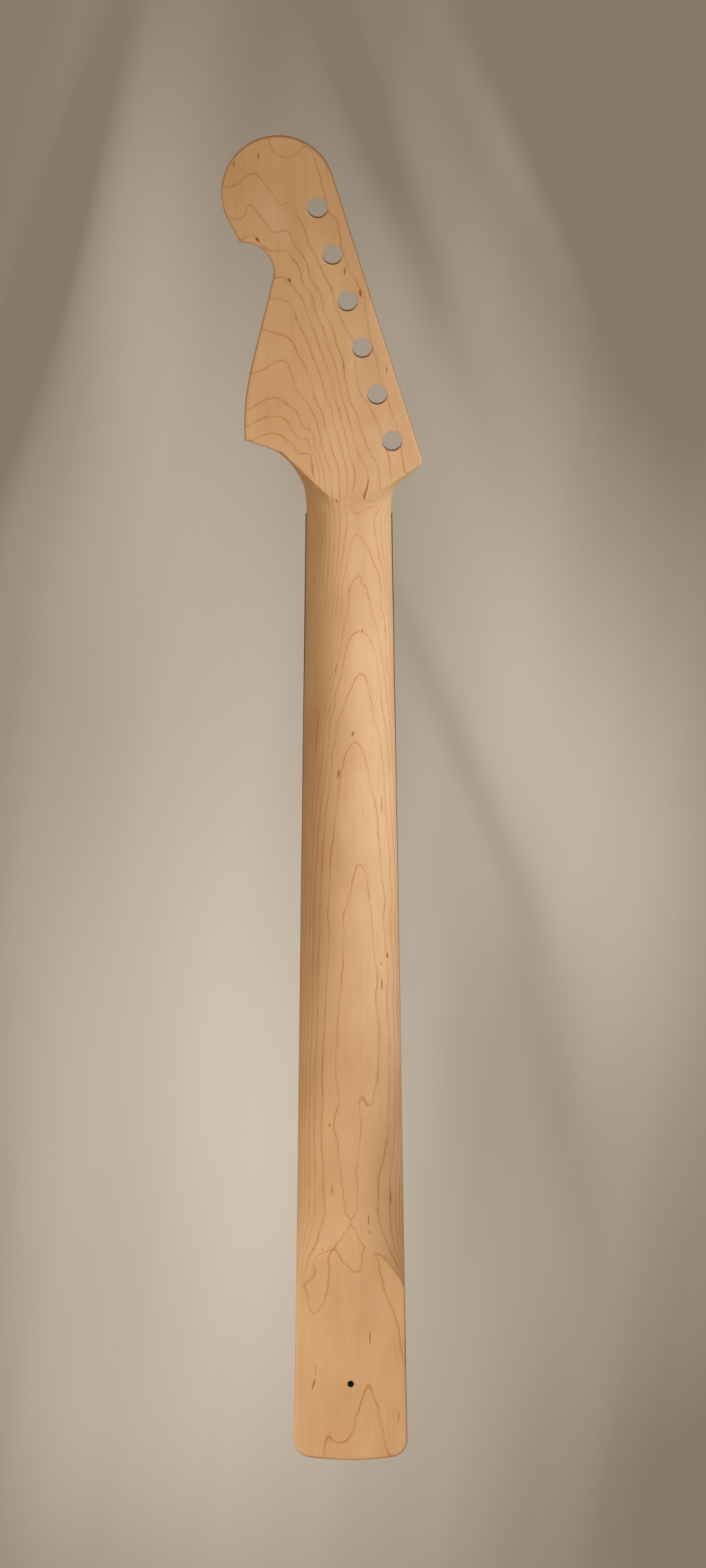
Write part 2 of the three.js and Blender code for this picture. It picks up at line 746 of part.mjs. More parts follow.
// Fret wire bent over the board: a rounded crown above it and a thin tang below
function fretWire(fret) {
  const z = fretZ(fret);
  const section = [];
  for (let step = 0; step <= crownSteps; step += 1) {
    const angle = (Math.PI * step) / crownSteps;
    section.push([(fretCrownWidth / 2) * Math.cos(angle), fretCrownHeight * Math.sin(angle)]);
  }
  const halfTang = fretTangThickness / 2;
  section.push([-halfTang, 0], [-halfTang, -fretTangDepth], [halfTang, -fretTangDepth], [halfTang, 0]);
  const endX = boardHalfWidth(z) - fretEndInset;
  const stations = [-endX, ...flatEdges(endX), endX].reverse();
  const positions = [];
  for (const station of stations) {
    for (const [along, up] of section) {
      const bevel = Math.abs(station) === endX ? Math.max(0, up) * fretEndBevelShare : 0;
      const x = station - Math.sign(station) * bevel;
      positions.push(x, boardTopAt(station) + slotSideClearance + up, z + along);
    }
  }
  return sweptGeometry(positions, section, stations.length);
}

// String nut: an upright blade with an arched top and six string slots
function stringNut() {
  const halfWidth = boardHalfWidth(nutBackZ) - nutEndInset;
  const across = [-halfWidth, ...flatEdges(halfWidth), halfWidth];
  const floorY = boardTopY - nutSlotDepth + nutSideClearance;
  const section = across.map((x) => new THREE.Vector2(x, boardTopAt(x) + nutStandUp)).reverse();
  section.push(new THREE.Vector2(-halfWidth, floorY), new THREE.Vector2(halfWidth, floorY));
  const geometry = extruded(section, nutThickness - nutSideClearance * 2);
  geometry.translate(0, 0, nutFrontZ + nutSideClearance);
  let nut = solidFrom(geometry);
  for (let string = 0; string < stringCount; string += 1) {
    const share = string / (stringCount - 1);
    const x = stringSpread / 2 - stringSpread * share;
    const half = (bassStringSlot + (trebleStringSlot - bassStringSlot) * share) / 2;
    const slotFloor = boardTopAt(x) + nutStandUp - stringSlotDepth;
    nut = nut.subtract(boxSolid(
      new THREE.Vector3(x - half, slotFloor, nutFrontZ - overrun),
      new THREE.Vector3(x + half, boardTopY + nutStandUp + overrun, nutBackZ + overrun),
    ));
  }
  return nut;
}

// The rod runs from inside the adjuster, along its arc, into the anchor
function trussRod() {
  const outerEnd = axisPoint(adjusterOuterEnd - rodEndInsideAdjuster);
  const arc = rodPlaces().map((z) => new THREE.Vector3(0, rodCentreY(z), z));
  const farEnd = anchorStart.clone().addScaledVector(anchorOut, anchorLength);
  const centres = [outerEnd, ...arc, farEnd];
  const section = [];
  for (let corner = 0; corner < rodSides; corner += 1) {
    const angle = (2 * Math.PI * corner) / rodSides;
    section.push([rodRadius * Math.cos(angle), rodRadius * Math.sin(angle)]);
  }
  const side = new THREE.Vector3(1, 0, 0);
  const positions = [];
  centres.forEach((centre, index) => {
    const before = centres[Math.max(0, index - 1)];
    const after = centres[Math.min(centres.length - 1, index + 1)];
    const along = new THREE.Vector3().subVectors(after, before).normalize();
    const across = new THREE.Vector3().crossVectors(along, side);
    for (const [u, v] of section) {
      const point = centre.clone().addScaledVector(side, u).addScaledVector(across, v);
      positions.push(point.x, point.y, point.z);
    }
  });
  return sweptGeometry(positions, section, centres.length);
}

// Joins like sections, set one after another, into a closed body with flat ends
function sweptGeometry(positions, section, stationCount) {
  const count = section.length;
  const indices = [];
  for (let station = 0; station + 1 < stationCount; station += 1) {
    for (let point = 0; point < count; point += 1) {
      const next = (point + 1) % count;
      const a = station * count + point;
      const b = station * count + next;
      indices.push(a, b, b + count, a, b + count, a + count);
    }
  }
  const last = (stationCount - 1) * count;
  const outline = section.map(([u, v]) => new THREE.Vector2(u, v));
  for (const [a, b, c] of THREE.ShapeUtils.triangulateShape(outline, [])) {
    indices.push(c, b, a, last + a, last + b, last + c);
  }
  const geometry = new THREE.BufferGeometry();
  geometry.setAttribute('position', new THREE.Float32BufferAttribute(positions, 3));
  geometry.setIndex(indices);
  geometry.computeVertexNormals();
  return geometry;
}

// Strip that closes the channel over the rod, level with the glue face
function fillerStrip() {
  const reach = rodRadius + rodClearance;
  const underside = rodPlaces().map((z) => new THREE.Vector2(rodCentreY(z) + reach, z));
  const footZ = rodStartZ + stripSideClearance;
  const topZ = rodEndZ - anchorClearance - stripSideClearance;
  underside[0].y = footZ;
  underside[underside.length - 1].y = topZ;
  const points = [...underside, new THREE.Vector2(glueY, topZ), new THREE.Vector2(glueY, footZ)];
  const half = channelWidth / 2 - stripSideClearance;
  return profileSolid(points, -half, half);
}

// Pieces that stand along the rod's axis are made upright here and then turned onto it
function alongAxis(outline, sides) {
  return new THREE.LatheGeometry([...outline, outline[0]], sides);
}

function ringOutline(innerRadius, outerRadius, length, chamfer) {
  return [
    new THREE.Vector2(innerRadius, 0),
    new THREE.Vector2(outerRadius, 0),
    new THREE.Vector2(outerRadius, length - chamfer),
    new THREE.Vector2(outerRadius - chamfer, length),
    new THREE.Vector2(innerRadius, length),
  ];
}

function adjuster() {
  const outline = ringOutline(rodRadius + rodClearance, adjusterDiameter / 2, adjusterLength, adjusterChamfer);
  let nut = solidFrom(alongAxis(outline, roundSides));
  const half = adjusterSlotWidth / 2;
  const slotFloor = adjusterLength - adjusterSlotDepth;
  const reach = adjusterDiameter;
  nut = nut.subtract(boxSolid(
    new THREE.Vector3(-reach, slotFloor, -half),
    new THREE.Vector3(reach, adjusterLength + overrun, half),
  ));
  return nut.subtract(boxSolid(
    new THREE.Vector3(-half, slotFloor, -reach),
    new THREE.Vector3(half, adjusterLength + overrun, reach),
  ));
}

function washer() {
  const outline = [
    new THREE.Vector2(rodRadius + rodClearance, 0),
    new THREE.Vector2(adjusterDiameter / 2, 0),
    new THREE.Vector2(adjusterDiameter / 2, washerThickness),
    new THREE.Vector2(rodRadius + rodClearance, washerThickness),
  ];
  return solidFrom(alongAxis(outline, roundSides));
}

function anchor() {
  const half = anchorWidth / 2;
  const block = boxSolid(
    new THREE.Vector3(-half, 0, -anchorHeight / 2),
    new THREE.Vector3(half, anchorLength, anchorHeight / 2),
  );
  const hole = roundSolid(
    new THREE.Vector3(0, -overrun, 0),
    new THREE.Vector3(0, anchorLength + overrun, 0),
    rodRadius + rodClearance,
    rodSides,
  );
  return block.subtract(hole);
}

// Colours of bare maple, rosewood, nickel silver, bone, clay and metal
const maple = { color: 0xd4a878, roughness: 0.62, metalness: 0 };
const rosewood = { color: 0x3a241a, roughness: 0.55, metalness: 0 };
const nickelSilver = { color: 0xb9b6ac, roughness: 0.28, metalness: 1 };
const bone = { color: 0xe9e1cc, roughness: 0.42, metalness: 0 };
const clay = { color: 0xd9d0b8, roughness: 0.5, metalness: 0 };
const blackenedSteel = { color: 0x55565a, roughness: 0.45, metalness: 1 };
const plainSteel = { color: 0x8d8f94, roughness: 0.4, metalness: 1 };
const brass = { color: 0xc29a4c, roughness: 0.35, metalness: 1 };

const neckGroup = new THREE.Group();

function addPiece(name, geometry, look, parent = neckGroup) {
  const mesh = new THREE.Mesh(geometry, new THREE.MeshStandardMaterial(look));
  mesh.name = name;
  parent.add(mesh);
}

// A group whose +Y runs out along an axis from a place on it
function axisGroup(place, direction) {
  const group = new THREE.Group();
  group.position.copy(place);
  group.quaternion.setFromUnitVectors(new THREE.Vector3(0, 1, 0), direction);
  neckGroup.add(group);
  return group;
}

const blank = boardBlank();
addPiece('maple_neck', geometryFrom(mapleNeck()), maple);
addPiece('fingerboard', geometryFrom(fingerboard(blank)), rosewood);
addPiece('string_nut', geometryFrom(stringNut()), bone);
for (let fret = 1; fret <= fretCount; fret += 1) {
  addPiece(`fret_${String(fret).padStart(2, '0')}`, fretWire(fret), nickelSilver);
}
for (const place of faceDotPlaces()) {
  addPiece(place.name, geometryFrom(faceDotSolid(place, 0).intersect(blank)), clay);
}
for (const place of sideDotPlaces()) {
  addPiece(place.name, geometryFrom(sideDotSolid(place, 0).intersect(blank)), clay);
}
addPiece('truss_rod', trussRod(), plainSteel);
addPiece('truss_rod_filler_strip', geometryFrom(fillerStrip()), maple);
addPiece('truss_rod_anchor', geometryFrom(anchor()), blackenedSteel, axisGroup(anchorStart, anchorOut));
const washerGroup = axisGroup(axisPoint(washerInnerFace), axisOut);
addPiece('truss_rod_washer', geometryFrom(washer()), plainSteel, washerGroup);
const adjusterGroup = axisGroup(axisPoint(adjusterInnerEnd), axisOut);
addPiece('truss_rod_adjuster', geometryFrom(adjuster()), brass, adjusterGroup);

export default neckGroup;
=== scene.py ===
# Looks of a bolt-on electric guitar neck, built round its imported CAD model.
# Lengths are millimetres in the model's own frame: +Z up the neck, back facing -Y.

import math

import bpy
import numpy as np
from mathutils import Matrix, Vector
from mathutils.geometry import delaunay_2d_cdt


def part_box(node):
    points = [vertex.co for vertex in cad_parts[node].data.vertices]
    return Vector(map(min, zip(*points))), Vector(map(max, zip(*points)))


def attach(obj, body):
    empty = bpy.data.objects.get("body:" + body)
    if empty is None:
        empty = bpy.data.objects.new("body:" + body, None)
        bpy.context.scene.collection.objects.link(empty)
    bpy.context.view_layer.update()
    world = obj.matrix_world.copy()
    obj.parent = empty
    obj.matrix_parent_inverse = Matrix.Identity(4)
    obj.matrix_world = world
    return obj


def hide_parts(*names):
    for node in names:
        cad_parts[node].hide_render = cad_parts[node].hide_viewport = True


MM = 0.001

# Scale and fingerboard
SCALE_LENGTH = 647.7
FRET_COUNT = 21
SEMITONES = 12
BOARD_WIDTH_AT_NUT_END = 42.9
BOARD_WIDTH_AT_HEEL_END = 56.5
BOARD_THICKNESS = 5.75
BOARD_TOP_RADIUS = 241.3
BOARD_PAST_LAST_FRET = 6.8
BOARD_PAST_NUT = 4.8
BOARD_EDGE_ROLL = 0.7
ROLL_END_MARGIN = 4
ROLL_FADE_LENGTH = 2
THINNEST_BOARD = 0.02
GLUE_LINE = 0.05

# Heel and shaft
HEEL_THICKNESS = 19.6
PLATE_CENTRE = 41.3
HEEL_END_RADIUS = 142
HEEL_CORNER_RADIUS = 8.5
LOCATING_HOLE_RADIUS = 1.6
LOCATING_HOLE_DEPTH = 7
LOCATING_HOLE_FROM_END = 37.95
THICKNESS_AT_FIRST_FRET = 21
THICKNESS_AT_TWELFTH_FRET = 23
SIDE_FLANK = 1.2
ARC_SECTION_SHARE = 0.75
REVEAL_AT_NUT_END = 0.5
REVEAL_START = 143

# Scoops at both ends of the shaft
HEEL_SCOOP_APEX = 107
HEEL_SCOOP_DROP = 23
HEEL_SCOOP_CENTRE_LENGTH = 20
HEEL_SCOOP_SIDE_LENGTH = 40
HEEL_CREST_LENGTH = 3
CENTRE_SHARPNESS_SHARE = 0.22
HEAD_SCOOP_FLAT = 7.8
HEAD_SCOOP_BLEND = 4
HEAD_SCOOP_FROM_BOARD = 7
HEAD_SCOOP_LENGTH = 36
HEAD_SCOOP_TREBLE_SLOPE = 0.95
HEAD_SCOOP_BASS_SLOPE = 0.655
HEAD_SCOOP_REACH = 34
HEAD_LIP_SHARE = 0.22
HEAD_LIP_LENGTH = 7
HEAD_ROLL_LENGTH = 6
HEAD_ROLL_HALF_WIDTH = 13

# Headstock
HEAD_THICKNESS = 14.3
HEAD_LENGTH = 187.5
HEAD_WIDTH = 98.8
RAMP_RADIUS = 20
BALL_RADIUS_SHARE = 0.1501
NOTCH_RADIUS_SHARE = 0.08
BASS_CORNER_CUT = 3
TUNER_COUNT = 6
TUNER_HOLE_RADIUS = 5
BASS_CORNER_SHARES = (0.3735, 0.136)
BALL_CENTRE_SHARES = (-0.3512, 0.8521)
HORN_CORNER_SHARES = (-0.5435, 0.7228)
NOTCH_CENTRE_SHARES = (-0.5263, 0.6417)
BASS_THROAT_SHARES = ((0.215, 0.0475), (0.2379, 0.0717), (0.2692, 0.092))
LOWEST_TUNER_SHARES = (0.2163, 0.196)
HIGHEST_TUNER_SHARES = (-0.1533, 0.8126)
TREBLE_FLANK_SHARES = ((-0.4727, 0.4237), (-0.4955, 0.374), (-0.5152, 0.3113), (-0.5228, 0.2599))
TREBLE_CORNER_SHARES = (-0.5223, 0.1992)
TREBLE_THROAT_SHARES = (
    (-0.446, 0.186),
    (-0.3527, 0.1659),
    (-0.2815, 0.1287),
    (-0.2315, 0.0824),
    (-0.2165, 0.045),
)

# Frets: an end step is a distance in from the end and the crown's height share there
FRET_CROWN_WIDTH = 2.5
FRET_CROWN_HEIGHT = 1.1
FRET_CROWN_FULLNESS = 0.85
FRET_TANG_THICKNESS = 0.5
FRET_TANG_DEPTH = 1.6
FRET_END_BEVEL_SHARE = 0.6
FRET_END_BEVEL_LENGTH = 1.2
FRET_END_STEPS = ((0, 0.82), (0.15, 0.94), (0.5, 1))
FRET_END_INSET = 0.15
FRET_SEAT_GAP = 0.05
FRET_SLOT_HALF = 0.3
FRET_SLOT_FLOOR_GAP = 0.15

# Nut
NUT_THICKNESS = 3.2
NUT_SLOT_DEPTH = 3
NUT_STAND_UP = 1.9
NUT_END_INSET = 0.1
NUT_GAP = 0.05
NUT_BACK_ROUND = 1.1
NUT_FRONT_ROUND = 0.25
NUT_FRONT_DROP = 0.12
NUT_END_ROUND = 0.4
NUT_END_DROP = 0.35
STRING_COUNT = 6
STRING_SPREAD = 35.2
BASS_STRING_SLOT = 1.3
TREBLE_STRING_SLOT = 0.4
STRING_SLOT_DEPTH = 0.8
STRING_SLOT_ROUND_SHARE = 0.35
STEEPEST_ROUND_SHARE = 0.98

# Dots
DOTTED_FRETS = (3, 5, 7, 9, 12, 15, 17, 19, 21)
DOUBLE_DOTTED_FRET = 12
FACE_DOT_RADIUS = 3.175
FACE_DOT_DEPTH = 1.6
DOUBLE_FACE_DOT_OFFSET = 11
SIDE_DOT_RADIUS = 1
SIDE_DOT_DEPTH = 2.5
DOUBLE_SIDE_DOT_OFFSET = 3.5
DOT_GAP = 0.05
DOT_RIM = 0.02
DOT_RIM_DROP = 0.04
FACE_DOT_RING_SHARES = (0.35, 0.7, 0.94)
SIDE_DOT_RING_SHARES = (0.4, 0.8)

# Truss rod
ROD_RADIUS = 2.38
ROD_END_DEPTH = 7.5
ROD_MIDDLE_DEPTH = 11
ROD_CURVE_START = 30
ROD_CURVE_END_BEFORE_NUT = 22
CHANNEL_WIDTH = 6.4
ROD_GAP = 0.3
ANCHOR_WIDTH = 9.5
ANCHOR_HEIGHT = 8
ANCHOR_LENGTH = 12
ANCHOR_GAP = 0.4
ADJUSTER_RADIUS = 4.75
ADJUSTER_LENGTH = 14
ADJUSTER_RECESS = 1.5
ADJUSTER_SIDE_GAP = 0.6
ADJUSTER_SLOT_WIDTH = 1.6
ADJUSTER_SLOT_DEPTH = 2.6
ADJUSTER_CHAMFER = 0.6
ADJUSTER_CHAMFER_MIDDLE_SHARE = 0.35
ADJUSTER_INNER_CHAMFER = 0.3
WASHER_THICKNESS = 1.2
SEAT_GAP = 0.1

# Sanded edges: how they fade into the scoops and start past the board
EDGE_RADIUS = 1
EDGE_FADE_RATE = 1.15
FRONT_EDGE_START = 1
FRONT_EDGE_FADE = 6
CREST_SOFTNESS = 0.4
HOLE_EDGE_ROUND = 0.18

# How finely the shapes are divided
FACE_SPACING = 1.6
CURVE_SPACING = 1.1
SIDE_SPACING = 2.6
SECTION_COLUMNS = 45
OUTER_COLUMN_SPACING = 0.7
MAPLE_WALL_ROWS = 8
BOARD_WALL_ROWS = 4
BOARD_COLUMNS = 27
BOARD_ROW_SPACING = 2.4
BOARD_COLUMN_MARGIN = 1.4
BOARD_END_MARGIN = 5
BOARD_END_ROW_SPACING = 0.35
BOARD_POINT_GAP = 0.3
ROUND_SEGMENTS = 64
DOT_SEGMENTS = 48
FLOOR_SEGMENTS = 96
RIM_STEPS = 5
CORNER_STEPS = 8
CHANNEL_STEPS = 25
CROWN_STEPS = 15
FRET_STATIONS = 23
NUT_COLUMNS = 61
NUT_COLUMN_DECIMALS = 3
NUT_ROWS = 14
NUT_ROW_START = 0.6
NUT_FRONT_ROWS = (0, 0.08, 0.25)
NUT_END_COLUMN_SHARES = (0.1, 0.3, 0.6, 1)
SLOT_COLUMN_SHARES = (0, 0.35, 0.7, 1, 1.02, 1.25)
SLOT_WIDTH_SHARE = 1.001
ROUNDING_SHARES = (0.08, 0.3, 0.62, 1.0)
HEAD_BAND = (
    -6, -5, -4, -3, -2, -1.2, -0.7, -0.35, 0, 0.35, 0.7, 1.1, 1.6, 2.2, 3, 4, 5, 6, 7,
    8.4, 10, 12, 14, 16.4, 19, 21.6, 24.2, 26.8, 29.4, 32, 34.6,
)
HEEL_BAND = (
    -1.2, -0.7, -0.35, 0, 0.35, 0.7, 1.1, 1.6, 2.2, 3, 4, 5.4, 7, 9, 11, 13.4, 16, 18.6, 21.2, 23.8,
)

# How near points may come to the outline and to each other
OUTLINE_GAP = 0.04
EDGE_MARGIN = 0.2
RING_TOLERANCE = 0.03
LONGEST_LINK = 4
SANDED_SHARE = 0.3
SCOOPED_SHARE = 0.9
CHUNK = 2000
MERGE_DISTANCE = 1e-5
LEAST_TRIANGLE = 1e-9
SMALLEST = 1e-6
OVERRUN = 5
BOX_GAP = 0.005

# Edges sharper than these angles, in degrees, stay sharp in the shading
MAPLE_SHARP = 34
BOARD_SHARP = 30
ADJUSTER_SHARP = 30
NUT_SHARP = 35
FRET_SHARP = 40
DOT_SHARP = 40

# Growth rings: places across and up the back, in millimetres, that each dark line runs through
RINGS_PER_MM_OF_DEPTH = 0.55
RING_SMOOTHING = 0.2
RING_CHANGE_LENGTH = 3
RING_SLOPE_STEP = 0.3
HEAD_RINGS = (
    (14, ((-47.3, 466.4), (-39.8, 469.2), (-34.3, 468.5), (-28.1, 463.7), (-23.3, 458.9), (-19.2, 459.2),
        (-18.2, 452), (-17.2, 446.9))),
    (13, ((-50.7, 472.6), (-43.2, 476.7), (-35.6, 477.7), (-30.1, 475), (-23.7, 466.1), (-19.9, 465.7),
        (-18.5, 461), (-15.4, 453.1), (-14.4, 447.2))),
    (12, ((-50.7, 480.8), (-43.2, 484.9), (-35.6, 487), (-29.5, 483.2), (-22.6, 472.6), (-19.2, 470.9),
        (-16.8, 462.3), (-13.7, 454.1), (-12, 447.2))),
    (11, ((-49, 498.3), (-42.1, 501), (-37.3, 503.8), (-31.1, 505.1), (-28.1, 497.6), (-24, 488.4),
        (-19.5, 483.2), (-15.7, 474.7), (-13, 461), (-9.2, 451.4), (-8.2, 447.2))),
    (10, ((-42.8, 521.2), (-36.3, 518.9), (-29.7, 516.5), (-25, 508.6), (-19.2, 495.9), (-15.7, 483.9),
        (-12, 472.9), (-8.9, 463.3), (-4.8, 449.6), (-4.8, 442.8))),
    (9, ((-39.7, 535.6), (-29, 533.6), (-24.6, 523.3), (-19.5, 513), (-13.7, 497.6), (-8.6, 481.5),
        (-6.2, 471.2), (-2.8, 459.2), (-0.7, 447.9), (-1.1, 439.4))),
    (8, ((-36.6, 546.3), (-30, 545.6), (-25.6, 539.7), (-19.8, 527.4), (-14.7, 513), (-7.9, 492.5),
        (-3.8, 476), (0.7, 457.5), (3, 447.9), (0.6, 438.3))),
    (7, ((-53, 565.4), (-46.5, 567.5), (-36.9, 559.6), (-29.3, 558.6), (-23.9, 550), (-18.1, 537),
        (-11.6, 518.9), (-6.5, 502.7), (-1.7, 482.2), (3.1, 465.1), (8.9, 451.4), (9.2, 442.8), (7.5, 437))),
    (6, ((-59.1, 575.7), (-52.6, 576.1), (-48.8, 582.9), (-43.4, 576.8), (-37.2, 568.9), (-29.7, 569.6),
        (-25.6, 561), (-19.4, 547.3), (-12.3, 530.2), (-6.1, 513.7), (-1.7, 496.6), (0.7, 484.9),
        (5.8, 471.9), (10.6, 459.2), (15, 449), (15.4, 442.8))),
    (5, ((-62.9, 591.5), (-55.3, 592.5), (-46.1, 598.3), (-40.9, 591.8), (-33.8, 582.2), (-29, 583.9),
        (-24.9, 576.1), (-19.4, 562.7), (-12.9, 549.7), (-6.8, 534.6), (-2, 521.9), (2.1, 515.8),
        (3.5, 501), (9.6, 483.9), (14.7, 473.6), (19.2, 459.9), (21.2, 446.2))),
    (4, ((-39.9, 615.1), (-36.8, 608.6), (-30, 606.2), (-24.5, 609), (-20.7, 611.7), (-15.6, 602.1),
        (-13.2, 593.5), (-9.8, 579.5), (-6, 575.4), (-4, 566.1), (-1.6, 555.9), (1.8, 548), (8, 537),
        (9, 526.7), (10.7, 516.5), (14.1, 504.5), (18.2, 489.7), (21.2, 478.8), (26, 461), (27, 455),
        (27.6, 450.7))),
)
SHAFT_RINGS = (
    (8, ((3.5, 418.9), (1.3, 416.2), (0, 411), (-1.3, 405), (-2.7, 398), (-3.9, 390), (6.3, 416.7),
        (10.2, 409.7), (13.5, 401.5), (15.7, 390), (17.5, 376.5), (18.2, 370))),
    (8, ((-0.5, 436), (0.9, 431.7), (2.7, 429.6), (8, 432), (13.3, 433.5), (17.4, 437))),
    (9, ((-2.9, 435), (-1.4, 431), (-1.1, 424.5), (-1.7, 418), (-2.6, 410), (-3.9, 400), (-5.2, 390),
        (-6.6, 378), (-8, 360))),
    (9, ((14.2, 429.9), (12.7, 427.6), (12.4, 424), (12.8, 420), (14.5, 410), (16.8, 400), (17.9, 391),
        (19, 380))),
    (10, ((-6.7, 436.4), (-4.9, 431.7), (-4.4, 427), (-4.6, 420), (-5.2, 410), (-6, 400), (-7.4, 388),
        (-9, 372), (-10.4, 355))),
    (10, ((18.4, 434), (16.2, 428), (16, 420), (17, 410), (18.2, 400), (19.3, 388))),
    (11, ((-9, 437.5), (-7.4, 431), (-7, 424), (-7.2, 414), (-8, 403), (-9.3, 388), (-11, 370))),
    (12, ((-11.4, 440), (-9.7, 432), (-9.3, 424), (-9.5, 414), (-10.2, 402), (-11.6, 386), (-13.2, 368))),
    (13, ((-14, 443), (-12.2, 433), (-11.6, 424), (-11.8, 413), (-12.6, 400), (-14, 384))),
    (7, ((3.5, 397), (1.3, 394), (0.1, 389), (-0.4, 382.5), (-1.9, 376.5), (-3.3, 370.5), (-4.6, 362),
        (-6.2, 355.5), (-8, 345), (-9.6, 333))),
    (7, ((6.3, 393.7), (9.5, 387), (11, 380.5), (13, 373.5), (14.8, 366), (16, 358.5), (17.3, 350),
        (18.2, 342))),
    (6, ((6.5, 370.4), (2.8, 369.5), (0, 366.5), (-1.7, 360.5), (-3.2, 353.5), (-5, 346), (-7.2, 339),
        (-8.9, 329), (-10, 320), (-11, 309), (-12.2, 298))),
    (6, ((9.3, 368.2), (11.3, 364.5), (13, 358.5), (14.3, 351.5), (15.3, 343), (16.4, 332), (17.7, 325.5),
        (18.8, 317.5), (19.6, 305))),
    (5, ((6, 349.7), (3.3, 347.5), (0.8, 341.5), (-1.5, 337), (-4.7, 328.5), (-6.7, 320.5), (-8.6, 309),
        (-9.9, 295), (-11.7, 280), (-13.1, 265), (-14, 250), (-15.2, 228), (-15.7, 207), (-15.9, 181),
        (-17.4, 155), (-17.9, 123), (-17.5, 101), (-17.5, 86), (-18.1, 77.6), (-19.7, 71.3), (-21.9, 64),
        (-24, 57.6))),
    (5, ((8.8, 345.5), (10.7, 336), (12.7, 324.5), (15.5, 312), (17.2, 301), (17.7, 287), (18.5, 275),
        (20.2, 257), (21, 237.5), (21.8, 200), (22.2, 160), (22.2, 123), (21.2, 108), (20, 99.5),
        (19.8, 80.6), (20.9, 69.4), (24.4, 57))),
    (4, ((2.5, 315.6), (-0.5, 312.6), (-2.6, 307), (-4, 299.5), (-5.7, 288), (-7.2, 277.5), (-8.2, 267.5),
        (-9.2, 260), (-10.1, 242.5), (-10.3, 222.5), (-10.5, 206.5), (-12, 190), (-12.6, 173),
        (-13.9, 145.4), (-14.3, 126.4), (-13.9, 110.4), (-13.3, 102.5), (-13.6, 94.5), (-13, 88),
        (-12.9, 81.3), (-14.7, 74.5), (-17.5, 65), (-21.2, 56.3), (-23.7, 49.5))),
    (4, ((5, 314.1), (6.9, 311.2), (8.5, 304), (10.1, 296), (11.7, 288.5), (13.2, 281), (14, 270),
        (15, 257), (16, 246), (16.6, 230), (17.8, 212.5), (18.3, 190), (19.6, 168), (19.6, 150), (19, 133),
        (18.4, 120), (16.5, 108.4), (14.4, 100.6), (13.7, 94.5), (13.8, 82), (14.7, 76.3), (18.4, 65.7),
        (23.1, 55.7))),
    (3, ((5, 254.8), (2.8, 251), (0.8, 242.5), (-1.4, 234.5), (-2.9, 224), (-3.4, 210), (-4.2, 193),
        (-5.9, 180.4), (-6.6, 165.4), (-6.9, 148), (-7, 132), (-6.5, 118.4), (-5.2, 106.4), (-4.6, 100),
        (-3.4, 93.2), (-2.3, 86), (-1.5, 80.5), (0.5, 76.6))),
    (3, ((6.8, 253.5), (8.8, 247), (10, 236), (11.3, 222), (12.4, 207), (12.9, 191.3), (13.9, 178),
        (14.1, 162), (13.8, 150), (12.5, 143), (11.9, 136.5), (10.5, 135.2), (8.2, 138), (6, 139.8),
        (4.9, 138.9), (4.8, 132), (5, 127), (5.3, 122), (5.2, 118.5), (4.4, 114), (3.8, 108), (3.3, 104),
        (2.9, 101), (3.7, 95), (3, 88), (2.4, 81))),
    (3, ((-0.9, 74.8), (-4.4, 68.9), (-7.2, 63.5), (-5.6, 61.4), (-1.9, 56), (1.2, 52.9), (4.7, 53.2),
        (5.6, 58.9), (6, 63), (4.4, 68.2), (1.6, 74.8))),
    (3, ((-10, 62), (-10.9, 57.6), (-11.1, 50), (-11.5, 44.5), (-13.1, 38.8), (-16, 33.5), (-18.1, 32),
        (-20, 33.5), (-21.2, 38), (-21.9, 43.2), (-22.3, 47))),
    (3, ((13.7, 58.9), (14.5, 53.8), (15.6, 48.8), (17.2, 42.6), (20.3, 34.8), (22.4, 29.5), (24.4, 20.7),
        (26, 10.7), (27, 4))),
    (4, ((-13.8, -39.3), (-13.2, -34.2), (-12.5, -30.7), (-11.4, -29.2), (-9.8, -30.4), (-7.9, -32.3),
        (-5, -32.5), (-2.3, -31.7), (-0.7, -29.8), (1.7, -24.8), (4.2, -16), (5.5, -11), (6.8, -6.9),
        (8.3, -5), (9.4, -3.3), (10.5, -6.8), (12.4, -11.7), (13.9, -18), (15.2, -23.5), (17.1, -33),
        (18.6, -38))),
)

# Ring numbers between the lines, where the wood lies almost level with a ring
HEAD_RING_GUIDES = (
    (3.5, ((29.5, 474), (25, 492), (31, 466), (30, 457), (34, 459), (33, 454))),
)
SHAFT_RING_GUIDES = (
    (2.55, ((-1, 66), (0, 60), (2, 200), (4, 165), (-1, 125), (2, 228), (-0.5, 106))),
    (2.7, ((0, 96), (0.4, 88), (0.5, 82.5))),
    (2.7, ((-16.5, 48), (-17.5, 40), (27.5, 36), (28, 20), (22, 52), (-15, 56))),
    (3.35, ((-25, 36), (-25.4, 45), (-4, 40), (6, 38), (10, 20), (-8, 20), (14, 30), (-24, 25), (4, 276),
        (9, 120))),
    (3.6, ((0, 5), (-14, 2), (16, 2), (-21, -15), (23, -20), (-22, -35), (3, 292))),
    (4.35, ((3, -37), (9, -18), (-4, -39), (2.5, 330))),
    (5.5, ((5.5, 361),)),
    (6.5, ((4.5, 384),)),
    (7.5, ((3.6, 409),)),
    (8.25, ((4, 424),)),
)

